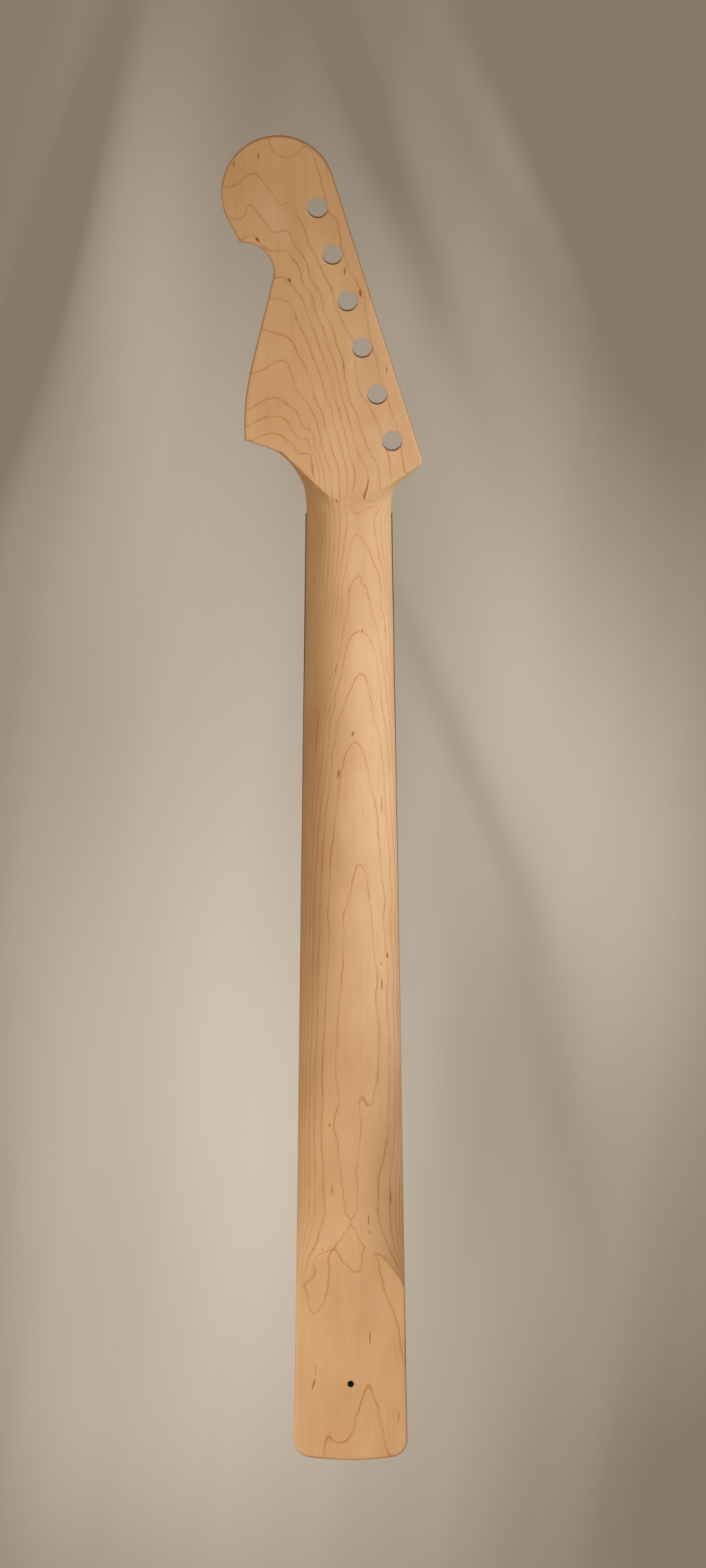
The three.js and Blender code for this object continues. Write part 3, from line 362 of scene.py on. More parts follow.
# Dark mineral streaks on the back: lower end, upper end, half width, darkness share
STREAKS = (
    ((7.1, 435.3), (9, 442.2), 0.5, 0.95),
    ((7.9, 438), (9.5, 444.4), 0.45, 0.95),
    ((8.7, 440.6), (9.85, 447.6), 0.4, 0.85),
    ((-2.5, 499.6), (-2.4, 505.2), 0.45, 0.7),
    ((-44.2, 564.2), (-46, 566.8), 0.8, 1),
    ((-29, 544), (-29.4, 546.6), 0.8, 1),
    ((6.2, 536.4), (5.6, 541.2), 0.75, 1),
    ((-2, 547.2), (-1.9, 552), 0.5, 0.77),
    ((-26, 525.4), (-26, 528.4), 0.45, 0.7),
    ((-56.7, 600.8), (-56.7, 605), 0.5, 0.7),
    ((-44.7, 605), (-44.3, 609), 0.55, 0.7),
    ((18.7, 499), (18.9, 502.6), 0.45, 0.7),
    ((-17.5, 446.6), (-18.2, 456), 0.4, 0.64),
    ((-19.9, 470.8), (-19.2, 472.4), 0.35, 0.64),
    ((10.1, 460.2), (10.7, 462.4), 0.35, 0.57),
    ((-5.4, 434.4), (-6.7, 436.8), 0.55, 0.7),
    ((-19.3, -7), (-17.5, 0.2), 0.45, 0.9),
    ((-17.5, 0.2), (-17.2, 7.2), 0.3, 0.51),
    ((9.6, 16), (9.6, 23.6), 0.4, 0.83),
    ((23.7, -23), (23.8, -16.7), 0.3, 0.77),
    ((-5.9, 296.4), (-5.2, 303.2), 0.45, 0.77),
    ((-4.7, 297.2), (-5.1, 303.2), 0.35, 0.7),
    ((1.2, 318.2), (2.1, 321.5), 0.55, 0.96),
    ((-7.2, 348.6), (-6, 355.8), 0.32, 0.7),
    ((-17.1, 306), (-14.8, 335), 0.28, 0.7),
    ((16.1, 279), (16, 289.5), 0.32, 0.7),
    ((6.7, 279), (6.7, 282.5), 0.25, 0.51),
    ((6.4, 370.3), (6.6, 372), 0.5, 0.77),
    ((17.8, 369.5), (18, 372.6), 0.32, 0.64),
    ((-17.6, 394), (-17.2, 397.2), 0.28, 0.57),
    ((18.7, 207.6), (18.5, 211), 0.5, 1),
    ((15.9, 191), (15.8, 198.7), 0.38, 0.83),
    ((15.5, 204), (15.6, 206.4), 0.3, 0.64),
    ((9.1, 75), (9.1, 81.3), 0.32, 0.83),
    ((9.4, 71), (9.4, 73.4), 0.32, 0.83),
    ((20, 84.4), (20, 92), 0.42, 0.83),
    ((-9.3, 89.8), (-8.8, 96.2), 0.35, 0.83),
    ((-14.1, 62.6), (-13.6, 64.6), 0.4, 0.57),
    ((-10.2, 124), (-10.2, 126.4), 0.45, 0.77),
)
STREAK_DEPTH = 3
STREAK_EDGE = (0.5, 1.15)
STREAK_STAIN_RANGE = (0.4, 1)
STREAK_SHOWN_RANGE = (0, 0.55)
STREAK_PALE = (0.5, 0.23, 0.085)
STREAK_DARK = (0.27, 0.1, 0.026)

# Broad patches: lower end, upper end, half width, tint shares
SHADE_AND_PALE_PATCHES = (
    # Painted shade where the light falls off, low on the headstock's treble side
    ((-29, 452), (-37, 512), 14, (0.91, 0.85, 0.75)),
    # A paler place in the wood on the ball
    ((-29, 565), (-43, 588), 5.5, (1.05, 1.08, 1.15)),
)
PATCH_DEPTH = 20
PATCH_EDGE = (0.3, 1.5)

# Growth lines: least rings per millimetre, then widths of a line and of the glow on its two sides
LEAST_RING_RATE = 0.02
LINE_WIDTH = 0.56
GLOW_WIDTH_BEHIND = 1.5
GLOW_WIDTH_AHEAD = 0.8
LINE_TINT = (0.78, 0.62, 0.45)
GLOW_TINT = (0.96, 0.82, 0.62)
BETWEEN_LINES_TINT = (1.03, 1.04, 1.06)
GLOW_FADES_UP = (70, 220)
GLOW_LEFT_SHARE = 0.45
BETWEEN_LINES_SHARE = 0.25
MIDWAY_PRODUCT = 0.25

# How far noise shifts the lines, in millimetres, and the ring rate at which that stops growing
SLOW_DRIFT_WIDTH = 1.3
QUICK_DRIFT_WIDTH = 0.7
DRIFT_RATE_LIMIT = 0.3

# Ranges of ring rate and of noise, each with the line strength or the glow at its two ends
CLOSE_RINGS = (0.15, 0.6, 1, 0.34)
CROWDED_RINGS = (0.7, 1.7, 1, 0)
BROKEN_LINE_RANGE = (0.32, 0.68, 0.35, 1)
WARM_PLACE_RANGE = (0.35, 0.65, 0.4, 1)

# Noises: feature sizes across, deep and along, then detail and roughness
SLOW_DRIFT = ((5, 5, 9), 3, 0.55)
QUICK_DRIFT = ((0.8, 0.8, 2.6), 2, 0.5)
BROKEN_LINES = ((6, 6, 18), 3, 0.6)
WARM_PLACES = ((30, 30, 70), 2, 0.5)
FLOOR_MOTTLE = ((40, 40, 40), 4, 0.5)

# Grains over a base colour: noise, where it starts and is full, its share, and its colour or tint
MAPLE_PALE = (0.655, 0.382, 0.19)
MAPLE_CLOUDS = ((((22, 22, 45), 2, 0.5), (0.32, 0.68), 1, (0.6, 0.335, 0.158)),)
MAPLE_GRAINS = (
    (((2.6, 2.6, 70), 4, 0.6), (0.4, 0.72), 0.4, (0.92, 0.88, 0.84)),
    (((0.36, 0.36, 1.6), 1, 0.5), (0.64, 0.82), 0.5, (0.8, 0.7, 0.6)),
    (((0.5, 0.5, 12), 4, 0.65), (0.48, 0.8), 0.7, (0.9, 0.84, 0.78)),
)
MAPLE_BUMP = 0.04
MAPLE_BUMP_STRENGTH = 0.5
MAPLE_FIBRE_SHARE = 0.5
MAPLE_LINE_SHARE = 0.3
MAPLE_ROUGHNESS = (0.52, 0.66)
MAPLE_SPECULAR = 0.2

# Where the noise in a surface leaves it smoothest and roughest
ROUGHNESS_RANGE = (0.2, 0.8)

# Painted shade on the outer walls: its tint, how the walls face, the heights that it keeps to; then the
# holes' painted shade
WALL_SHADE_TINT = (0.78, 0.64, 0.5)
WALL_SHADE_FACING = (0.25, 0.8, 1, 0)
WALL_SHADE_HEEL = (20, 50)
WALL_SHADE_HEAD = (452, 468)
PAINTED_BORE_SHADE = (0.8, 0.62, 0.48)
BORE_SHADE = (0.2, 0.8)
PAINTED_HOLE_SHADOW = (0.03, 0.016, 0.01)
HOLE_SHADOW_DEPTHS = (0.1, 0.7)
HOLE_WALL_REACH = 0.05

# Other woods: light, dark and pore colours and the width of a stripe
WOODS = {
    "oiled_rosewood": ((0.14, 0.058, 0.032), (0.05, 0.02, 0.012), (0.012, 0.005, 0.004), 1.6),
    "maple_strip": ((0.63, 0.36, 0.18), (0.5, 0.27, 0.13), (0.3, 0.15, 0.07), 1.2),
}

# Their stripes, and then their grains: noise, where it starts and is full, and its share
STRIPE_LENGTH = 110
STRIPE_DETAIL = (6, 0.7)
STRIPE_RANGE = (0.3, 0.72)
PORE_RANGE = (0.6, 0.68)
WOOD_DRIFT = (((9, 9, 140), 3, 0.55), (0.35, 0.75), 0.5)
WOOD_FIBRE = (((0.4, 0.4, 9), 4, 0.6), (0.4, 0.8), 0.3)
WOOD_PORE = (((0.34, 0.34, 4.6), 2, 0.5), PORE_RANGE, 0.85)
WOOD_BUMP = 0.06
WOOD_BUMP_STRENGTH = 0.6
WOOD_FIBRE_SHARE = 0.25
WOOD_ROUGHNESS = (0.46, 0.64)
WOOD_SPECULAR = 0.25

# Metals: light and dark colours, lowest and highest roughness, and the size of a tool mark
METALS = {
    "nickel_silver_wire": ((0.66, 0.63, 0.56), (0.5, 0.47, 0.4), 0.16, 0.32, (9, 0.12, 0.12)),
    "plain_steel": ((0.4, 0.41, 0.43), (0.22, 0.22, 0.23), 0.3, 0.5, (0.2, 0.2, 5)),
    "turned_brass": ((0.62, 0.4, 0.12), (0.42, 0.24, 0.06), 0.22, 0.4, (2.5, 2.5, 0.12)),
}
TARNISH = (((6, 6, 6), 3, 0.5), (0.35, 0.7), 1)
MARK_DETAIL = (5, 0.7)
MARK_RANGE = (0.55, 0.85)
MARK_SHARE = 0.35
MARK_ROUGHNESS_RANGE = (0.25, 0.75)
METAL_BUMP = 0.008
METAL_BUMP_STRENGTH = 0.4

# Pale solid stuff: light and dark colours and lowest roughness
PALE_STUFFS = {
    "bone_nut": ((0.82, 0.76, 0.6), (0.66, 0.56, 0.38), 0.3),
    "clay_dot": ((0.72, 0.65, 0.49), (0.56, 0.48, 0.33), 0.4),
}
PALE_CLOUD = (((2.4, 2.4, 2.4), 4, 0.6), (0.3, 0.75), 1)
PALE_VEIN = (((5, 0.35, 0.35), 3, 0.6), (0.58, 0.8), 0.4)
PALE_ROUGHNESS_RISE = 0.12
PALE_GLOW_SHARE = 0.08
PALE_GLOW_DEPTHS = (1, 0.7, 0.4)
PALE_BUMP = 0.02
PALE_BUMP_STRENGTH = 0.3

# Camera
CAMERA_DISTANCE = 14000
CAMERA_ELEVATION = math.radians(4)
CAMERA_ROLL = math.radians(-0.115)
CAMERA_AIM = (1.75, 0, 295.2)
CAMERA_REACH = 100000
FRAME_HEIGHT = 777.2
SENSOR = 36

# Spot lamps: place, target, power, colour, cone in degrees and radius of the source
SPOTS = {
    "key_from_right": ((864, -653, 553), (0, 0, 330), 39, (0.84, 1.02, 1.28), 28.6, 90),
    "low_beam_on_heel": ((-787, -627, 550), (0, 0, -400), 44, (0.92, 1, 1.06), 51.5, 100),
}

# Disc lamps: place, target, power, colour, width and whether gloss shows them
DISCS = {
    "wide_front": ((0, -2500, 750), (0, 0, 350), 21, (1.12, 1.02, 0.88), 1600, True),
    "fingerboard_side": ((-700, 2300, 350), (0, 0, 300), 46, (1, 0.99, 0.97), 1000, False),
}
ROOM_LIGHT = (1.1, 1.01, 0.82)
ROOM_LIGHT_STRENGTH = 0.28

# Backdrop's painted soft pools of light and fold shadows: centre across and up, half width and height, lean,
# light brought
BACKDROP_POOLS = (
    (-62, -145, 79, 274, 0, 0.9),
    (85, 29, 58, 164, -0.15, 0.6),
    (44, 239, 89, 103, 0, 0.2),
    (-101, 227, 38, 144, 0, 0.34),
    (-155, -175, 41, 240, 0, 0.34),
    (154, -37, 52, 172, 0, 0.33),
    (37, -262, 68, 172, 0, 0.36),
    (-45, 115, 30, 110, 0, 0.15),
    (-140, 110, 40, 60, 0, 0.1),
    (32, -56, 16, 100, 0, 0.14),
    (-120, -330, 60, 70, 0, 0.16),
    (120, -260, 40, 80, 0, 0.12),
    (-147, 263, 14, 125, 0.28, -0.32),
    (24, 290, 14, 95, -0.36, -0.22),
    (130, 270, 45, 110, -0.3, -0.24),
    (80, 308, 11, 70, -0.5, 0.12),
    (54, 15, 9, 85, -0.42, -0.17),
    (94, -120, 14, 100, -0.2, -0.13),
    (165, -360, 30, 60, 0, -0.1),
)
BACKDROP_LIGHT = (0.66, 0.563, 0.46)
BACKDROP_DARK = (0.243, 0.193, 0.14)
FOLD_STRENGTH = 0.16
FOLD_DETAIL = (3, 0.5)
NOISE_MIDDLE = 0.5
FOLD_WIDTH = 42
FOLD_LENGTH = 600
FOLD_LEAN = 0.2

# Away from the photograph's direction the backdrop turns plain and pale
BACKDROP_SIDE_RATE = 5
BACKDROP_SIDE_SHARE = 0.8
LEAST_FORWARD_SHARE = 0.1

# Floor: its gap below the heel, its radius, where it starts to fade, and how clear it is at least
FLOOR_GAP = 250
FLOOR_RADIUS = 1200
FLOOR_FADE_START = 300
FLOOR_CLEAR_SHARE = 0.6
FLOOR_PALE = (0.8, 0.7, 0.6)
FLOOR_WARM = (0.75, 0.65, 0.55)
FLOOR_MOTTLE_RANGE = (0.3, 0.7)
FLOOR_ROUGHNESS = 0.9

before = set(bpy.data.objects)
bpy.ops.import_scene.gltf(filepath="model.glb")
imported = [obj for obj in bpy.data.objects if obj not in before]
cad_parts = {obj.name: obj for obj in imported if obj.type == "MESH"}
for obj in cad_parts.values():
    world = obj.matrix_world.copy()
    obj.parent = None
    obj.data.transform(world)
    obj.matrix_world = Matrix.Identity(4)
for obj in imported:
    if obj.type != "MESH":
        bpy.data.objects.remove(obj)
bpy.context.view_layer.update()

glue_y = HEEL_THICKNESS
board_bottom_y = glue_y + GLUE_LINE
board_top_y = board_bottom_y + BOARD_THICKNESS
above_board_y = board_top_y + OVERRUN
heel_end_z = -PLATE_CENTRE


def string_left(fret):
    return SCALE_LENGTH * 2 ** (-fret / SEMITONES)


nut_front_z = heel_end_z + BOARD_PAST_LAST_FRET + SCALE_LENGTH - string_left(FRET_COUNT)
nut_back_z = nut_front_z + NUT_THICKNESS
board_end_z = nut_back_z + BOARD_PAST_NUT
ramp_centre_y = HEAD_THICKNESS + RAMP_RADIUS
ramp_centre_z = board_end_z + math.sqrt(RAMP_RADIUS**2 - (ramp_centre_y - glue_y) ** 2)


def fret_z(fret):
    return nut_front_z - SCALE_LENGTH + string_left(fret)


def share(value):
    return np.clip(value, 0, 1)


def smooth(value):
    inside = share(value)
    return inside * inside * (3 - 2 * inside)


def crisp(value):
    return 1 - (1 - share(value)) ** 2


def quarter_round(part):
    """How far a quarter circle of radius one has fallen at a share of its width."""
    return 1 - np.sqrt(np.maximum(0, 1 - part**2))


def board_half(z):
    taper = (board_end_z - z) / (board_end_z - heel_end_z)
    return (BOARD_WIDTH_AT_NUT_END + (BOARD_WIDTH_AT_HEEL_END - BOARD_WIDTH_AT_NUT_END) * taper) / 2


def board_top(x):
    return board_top_y - BOARD_TOP_RADIUS + np.sqrt(BOARD_TOP_RADIUS**2 - x**2)


def maple_half(z):
    start = heel_end_z + REVEAL_START
    return board_half(z) - REVEAL_AT_NUT_END * share((z - start) / (board_end_z - start))


def shaft_back(x, z):
    """Rear of the maple before the scoops: a C-shaped section ending in upright flanks."""
    towards_twelfth = (fret_z(1) - z) / (fret_z(1) - fret_z(SEMITONES))
    gain = THICKNESS_AT_TWELFTH_FRET - THICKNESS_AT_FIRST_FRET
    centre = board_top_y - THICKNESS_AT_FIRST_FRET - gain * towards_twelfth
    depth = glue_y - SIDE_FLANK - centre
    half = maple_half(z)
    across = np.minimum(half, np.abs(x))
    radius = (half**2 + depth**2) / (2 * depth)
    round_part = radius - np.sqrt(radius**2 - across**2)
    ellipse = depth * quarter_round(across / half)
    return centre + ARC_SECTION_SHARE * round_part + (1 - ARC_SECTION_SHARE) * ellipse


def soft_climb(across):
    run = across - HEAD_SCOOP_FLAT
    return (run + np.hypot(run, HEAD_SCOOP_BLEND)) / 2


def head_edge(x):
    slope = np.where(x < 0, HEAD_SCOOP_TREBLE_SLOPE, HEAD_SCOOP_BASS_SLOPE)
    climb = soft_climb(np.minimum(np.abs(x), HEAD_SCOOP_REACH)) - soft_climb(0)
    return board_end_z + HEAD_SCOOP_FROM_BOARD + slope * climb


def heel_across(x):
    return np.minimum(1, 2 * np.abs(x) / BOARD_WIDTH_AT_HEEL_END)


def heel_edge(x):
    return heel_end_z + HEEL_SCOOP_APEX - HEEL_SCOOP_DROP * heel_across(x) ** 2


def softened(distance):
    """A distance past a crest that starts gently, as a sanded edge does."""
    return (distance + np.hypot(distance, CREST_SOFTNESS)) / 2


def head_scoop(x, z):
    below = head_edge(x) - z
    rolled = share(1 + below / HEAD_ROLL_LENGTH) ** 2
    sanded = softened(below)
    lip = rolled + (crisp(sanded / HEAD_LIP_LENGTH) - rolled) * smooth(np.abs(x) / HEAD_ROLL_HALF_WIDTH)
    fade = share((below + HEAD_ROLL_LENGTH) / HEAD_ROLL_LENGTH)
    return HEAD_LIP_SHARE * lip + (1 - HEAD_LIP_SHARE) * crisp(sanded * fade / HEAD_SCOOP_LENGTH)


def heel_scoop(x, z):
    extra = HEEL_SCOOP_SIDE_LENGTH - HEEL_SCOOP_CENTRE_LENGTH
    length = HEEL_SCOOP_CENTRE_LENGTH + extra * heel_across(x) ** 2
    above = z - heel_edge(x)
    along = softened(above) * share(1 + above / HEEL_CREST_LENGTH) / length
    sharpness = CENTRE_SHARPNESS_SHARE + (1 - CENTRE_SHARPNESS_SHARE) * smooth(np.abs(x) / maple_half(z))
    return sharpness * crisp(along) + (1 - sharpness) * smooth(along)


def scoop_share(x, z):
    return head_scoop(x, z) * heel_scoop(x, z)


def back_height(x, z):
    return shaft_back(x, z) * scoop_share(x, z)


def ramp_height(z, longest):
    """The headstock's face and the concave ramp from there towards the board."""
    away = np.clip(ramp_centre_z - z, 0, longest)
    return ramp_centre_y - np.sqrt(RAMP_RADIUS**2 - away**2)


def head_place(shares):
    across, up = shares
    return np.array((across * HEAD_WIDTH, board_end_z + up * HEAD_LENGTH))


def arc(centre, radius, start, end):
    count = max(2, int(abs(end - start) * radius / CURVE_SPACING))
    angles = np.linspace(start, end, count + 1)
    return [centre + radius * np.array((math.cos(a), math.sin(a))) for a in angles]


def spline(points):
    """Even smooth curve through points, with its end points doubled."""
    held = [points[0], *points, points[-1]]
    curve = []
    for before, start, end, after in zip(held, held[1:], held[2:], held[3:]):
        leave, arrive = (end - before) / 2, (after - start) / 2
        cubic = 2 * start - 2 * end + leave + arrive
        square = -3 * start + 3 * end - 2 * leave - arrive
        count = max(2, int(np.linalg.norm(end - start) / CURVE_SPACING))
        for step in range(count):
            t = step / count
            curve.append(cubic * t**3 + square * t**2 + leave * t + start)
    return [*curve, points[-1]]


def straight(start, end, spacing):
    count = max(1, int(np.linalg.norm(end - start) / spacing))
    return [start + (end - start) * step / count for step in range(count + 1)]


def touch_angle(centre, radius, point, side):
    away = point - centre
    return math.atan2(away[1], away[0]) + side * math.acos(radius / np.linalg.norm(away))


def rounded_corner(before, corner, after):
    start, end = (
        corner + (far - corner) * BASS_CORNER_CUT / np.linalg.norm(far - corner) for far in (before, after)
    )
    shares = np.linspace(0, 1, CORNER_STEPS)
    return [start * (1 - t) ** 2 + 2 * corner * t * (1 - t) + end * t**2 for t in shares]


def heel_end_half(half_at):
    """Right half of the curved heel end, then its rounded corner, up to the straight side."""
    across = half_at(heel_end_z + HEEL_CORNER_RADIUS) - HEEL_CORNER_RADIUS
    end_centre = np.array((0, heel_end_z + HEEL_END_RADIUS))
    drop = math.sqrt((HEEL_END_RADIUS - HEEL_CORNER_RADIUS) ** 2 - across**2)
    corner_centre = np.array((across, end_centre[1] - drop))
    meet = math.atan2(-drop, across)
    end = arc(end_centre, HEEL_END_RADIUS, -math.pi / 2, meet)
    return [*end, *arc(corner_centre, HEEL_CORNER_RADIUS, meet, 0)[1:]]


def mirrored(points):
    return [np.array((-point[0], point[1])) for point in reversed(points)]


def head_outline():
    bass_throat = [head_place(s) for s in BASS_THROAT_SHARES]
    bass_corner = head_place(BASS_CORNER_SHARES)
    ball_radius = HEAD_LENGTH * BALL_RADIUS_SHARE
    notch_radius = HEAD_LENGTH * NOTCH_RADIUS_SHARE
    ball_centre = head_place(BALL_CENTRE_SHARES)
    horn = head_place(HORN_CORNER_SHARES)
    notch_centre = head_place(NOTCH_CENTRE_SHARES)
    flank = [head_place(s) for s in TREBLE_FLANK_SHARES]
    corner = head_place(TREBLE_CORNER_SHARES)
    throat = [head_place(s) for s in TREBLE_THROAT_SHARES]
    end = maple_half(board_end_z)
    ball_start = touch_angle(ball_centre, ball_radius, bass_corner, 1)
    ball_end = touch_angle(ball_centre, ball_radius, horn, -1) + 2 * math.pi
    ball = arc(ball_centre, ball_radius, ball_start, ball_end)
    to_horn = horn - notch_centre
    notch_end = touch_angle(notch_centre, notch_radius, flank[0], 1)
    notch = arc(notch_centre, notch_radius, math.atan2(to_horn[1], to_horn[0]), notch_end)
    bass = rounded_corner(bass_throat[-1], bass_corner, ball[0])
    return [
        *spline([np.array((end, board_end_z)), *bass_throat]),
        *straight(bass_throat[-1], bass[0], CURVE_SPACING)[1:-1],
        *bass,
        *straight(bass[-1], ball[0], CURVE_SPACING)[1:-1],
        *ball,
        *straight(ball[-1], horn, CURVE_SPACING)[1:],
        *notch[1:],
        *straight(notch[-1], flank[0], CURVE_SPACING)[1:-1],
        *spline([*flank, corner]),
        *spline([corner, *throat, np.array((-end, board_end_z))])[1:],
    ]


def side_points(half_at, low, high):
    rows = max(1, int((high - low) / SIDE_SPACING))
    return [np.array((half_at(z), z)) for z in np.linspace(low, high, rows + 1)]


def maple_outline():
    heel = heel_end_half(maple_half)
    side = side_points(maple_half, heel[-1][1], board_end_z)[1:-1]
    outline = np.array([*heel, *side, *head_outline(), *mirrored(side), *mirrored(heel)[:-1]])
    low, high = (np.array(corner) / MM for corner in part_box("maple_neck"))
    return np.clip(outline, low[[0, 2]] + BOX_GAP, high[[0, 2]] - BOX_GAP)


def segment_gaps(points, outline):
    """Distance from each point to the outline, and whether the point is inside it."""
    following = np.roll(outline, -1, axis=0)
    along = following - outline
    lengths = (along**2).sum(1)
    gaps, inside = [], []
    for first in range(0, len(points), CHUNK):
        part = points[first : first + CHUNK]
        away = part[:, None] - outline
        nearest = share((away * along).sum(2) / lengths)
        gap = away - nearest[..., None] * along
        gaps.append(np.sqrt((gap**2).sum(2).min(1)))
        crosses = (outline[:, 1] > part[:, 1:]) != (following[:, 1] > part[:, 1:])
        with np.errstate(divide="ignore", invalid="ignore"):
            where = outline[:, 0] + along[:, 0] * (away[..., 1] / along[:, 1])
        inside.append((crosses & (part[:, :1] < where)).sum(1) % 2 == 1)
    return np.concatenate(gaps), np.concatenate(inside)


def clear_of(outline, points, least):
    """Which points lie inside the outline and further than this from it."""
    gaps, inside = segment_gaps(points, outline)
    return inside & (gaps > least)


def numbered(rows):
    """The number of the row that each point of these rows is in."""
    return np.concatenate([np.full(len(row), index) for index, row in enumerate(rows)])


def linked(points, row_of, first):
    """Pairs of near neighbours in the same row, as indices that count from a first one."""
    apart = np.linalg.norm(points[1:] - points[:-1], axis=1)
    joined = (row_of[1:] == row_of[:-1]) & (apart < LONGEST_LINK)
    return [(first + index, first + index + 1) for index in np.flatnonzero(joined).tolist()]


def inset_rings(outline, radius):
    """Rows of points a little inside the outline, where its edge curves, and each one's row."""
    tangent = np.roll(outline, -1, axis=0) - np.roll(outline, 1, axis=0)
    tangent /= np.linalg.norm(tangent, axis=1)[:, None]
    inward = np.stack((-tangent[:, 1], tangent[:, 0]), 1)
    rings = []
    for part in ROUNDING_SHARES:
        ring = outline + inward * radius * part
        rings.append(ring[clear_of(outline, ring, radius * part - RING_TOLERANCE)])
    return np.concatenate(rings), numbered(rings)


def hex_grid(low_x, high_x, low_z, high_z):
    points = []
    for index, z in enumerate(np.arange(low_z, high_z, FACE_SPACING * math.sqrt(3) / 2)):
        shift = FACE_SPACING / 2 if index % 2 else 0
        points.extend((x + shift, z) for x in np.arange(low_x, high_x, FACE_SPACING))
    return np.array(points)


def level_row(columns, z):
    return np.stack((columns, np.full(len(columns), z)), 1)


def section_columns(z):
    angles = np.linspace(-1, 1, SECTION_COLUMNS)[1:-1] * math.pi / 2
    return maple_half(z) * np.sin(angles)


def band_rows(edge, offsets, direction, widest):
    """Rows that follow a scoop's edge, with columns close together towards the flanks."""
    rows = []
    for offset in offsets:
        z = edge(0.0) + direction * offset
        outer = np.arange(maple_half(z) + OUTER_COLUMN_SPACING, widest, OUTER_COLUMN_SPACING)
        columns = np.concatenate((-outer[::-1], section_columns(z), outer))
        rows.append(np.stack((columns, edge(columns) + direction * offset), 1))
    return rows


def face_points():
    """Even grids over the flat backs of the headstock and of the heel."""
    head = hex_grid(-HEAD_WIDTH, HEAD_WIDTH / 2, board_end_z, board_end_z + HEAD_LENGTH)
    head = head[head[:, 1] > head_edge(head[:, 0]) - HEAD_BAND[0] + FACE_SPACING / 2]
    half = BOARD_WIDTH_AT_HEEL_END / 2
    heel = hex_grid(-half, half, heel_end_z, heel_end_z + HEEL_SCOOP_APEX)
    heel = heel[heel[:, 1] < heel_edge(heel[:, 0]) + HEEL_BAND[0] - FACE_SPACING / 2]
    return np.concatenate((head, heel))


def shaft_points():
    """Rows across the shaft, between the two bands that follow the scoops' edges."""
    low = heel_end_z + HEEL_SCOOP_APEX - HEEL_SCOOP_DROP + HEEL_BAND[-1]
    rows = np.linspace(low, board_end_z, int((board_end_z - low) / SIDE_SPACING) + 1)
    shaft = np.concatenate([level_row(section_columns(z), z) for z in rows])
    above = shaft[:, 1] - heel_edge(shaft[:, 0]) - HEEL_BAND[-1]
    below = head_edge(shaft[:, 0]) - HEAD_BAND[-1] - shaft[:, 1]
    return shaft[np.minimum(above, below) > SIDE_SPACING / 2]


def maple_points(outline):
    """Places inside the outline at which back and front are measured, and the links to keep."""
    rows = band_rows(head_edge, HEAD_BAND, -1, HEAD_WIDTH)
    rows += band_rows(heel_edge, HEEL_BAND, 1, BOARD_WIDTH_AT_HEEL_END / 2)
    band, row_of = np.concatenate(rows), numbered(rows)
    flat = smooth(2 - 2 * scoop_share(*band.T))
    kept = clear_of(outline, band, OUTLINE_GAP + (EDGE_RADIUS + EDGE_MARGIN) * flat)
    band, row_of = band[kept], row_of[kept]
    rings, ring_of = inset_rings(outline, EDGE_RADIUS)
    shaped = scoop_share(*rings.T)
    loose = rings[(shaped >= SANDED_SHARE) & (shaped < SCOOPED_SHARE)]
    rings, ring_of = rings[shaped < SANDED_SHARE], ring_of[shaped < SANDED_SHARE]
    faces = face_points()
    faces = faces[clear_of(outline, faces, EDGE_RADIUS + FACE_SPACING / 3)]
    shaft = shaft_points()
    shaft = shaft[clear_of(outline, shaft, OUTLINE_GAP)]
    links = linked(band, row_of, 0) + linked(rings, ring_of, len(band))
    return np.concatenate((band, rings, faces, shaft, loose)), links


def rounding(gap, radius):
    """How far a rounded edge falls back at a distance in from the outline."""
    inward = share(gap / np.maximum(radius, SMALLEST))
    return radius * quarter_round(1 - inward)


def triangulated(outline, inner, links):
    """Joins the outline and the places inside it into triangles that wind one way."""
    places = [Vector(p) for p in np.concatenate((outline, inner)).tolist()]
    first = len(outline)
    edges = [(first + start, first + end) for start, end in links]
    found = delaunay_2d_cdt(places, edges, [list(range(first))], 1, MERGE_DISTANCE)
    points = np.array([(v.x, v.y) for v in found[0]])
    triangles = np.array([f for f in found[2] if len(f) == 3])
    a, b, c = (points[triangles[:, i]] for i in range(3))
    turn = (b[:, 0] - a[:, 0]) * (c[:, 1] - a[:, 1]) - (b[:, 1] - a[:, 1]) * (c[:, 0] - a[:, 0])
    triangles[turn < 0] = triangles[turn < 0][:, ::-1]
    return points, triangles[np.abs(turn) > LEAST_TRIANGLE]


def boundary_loop(faces):
    """The single outer loop of a sheet of faces that wind one way, in order."""
    edges = {(face[i - 1], face[i]) for face in faces for i in range(len(face))}
    following = {start: end for start, end in edges if (end, start) not in edges}
    loop = [next(iter(following))]
    while following[loop[-1]] != loop[0]:
        loop.append(following[loop[-1]])
    return np.array(loop)


def closed_sheet(points, faces, back, front, wall_rows):
    """A closed body from one flat sheet: back facing -Y, front facing +Y, walls between."""
    ring = boundary_loop(faces.tolist())
    count = len(points)
    rear = np.stack((points[:, 0], back, points[:, 1]), 1)
    face = np.stack((points[:, 0], front, points[:, 1]), 1)
    rows = [rear, face]
    for row in range(1, wall_rows):
        part = row / wall_rows
        rows.append(rear[ring] * (1 - part) + face[ring] * part)
    wall = [2 * count + row * len(ring) + np.arange(len(ring)) for row in range(wall_rows - 1)]
    wall = [ring, *wall, ring + count]
    polygons = faces.tolist() + (faces[:, ::-1] + count).tolist()
    for low, high in zip(wall, wall[1:]):
        polygons += np.stack((np.roll(low, -1), low, high, np.roll(high, -1)), 1).tolist()
    return np.concatenate(rows), polygons


def lofted(rings):
    """A closed body through rings of as many points each, counter-clockwise as seen from its end."""
    count = len(rings[0])
    last = len(rings) - 1
    faces = [list(range(count))[::-1], [last * count + step for step in range(count)]]
    for row in range(last):
        for step in range(count):
            a, b = row * count + step, row * count + (step + 1) % count
            faces.append([a, b, b + count, a + count])
    return [point for ring in rings for point in ring], faces


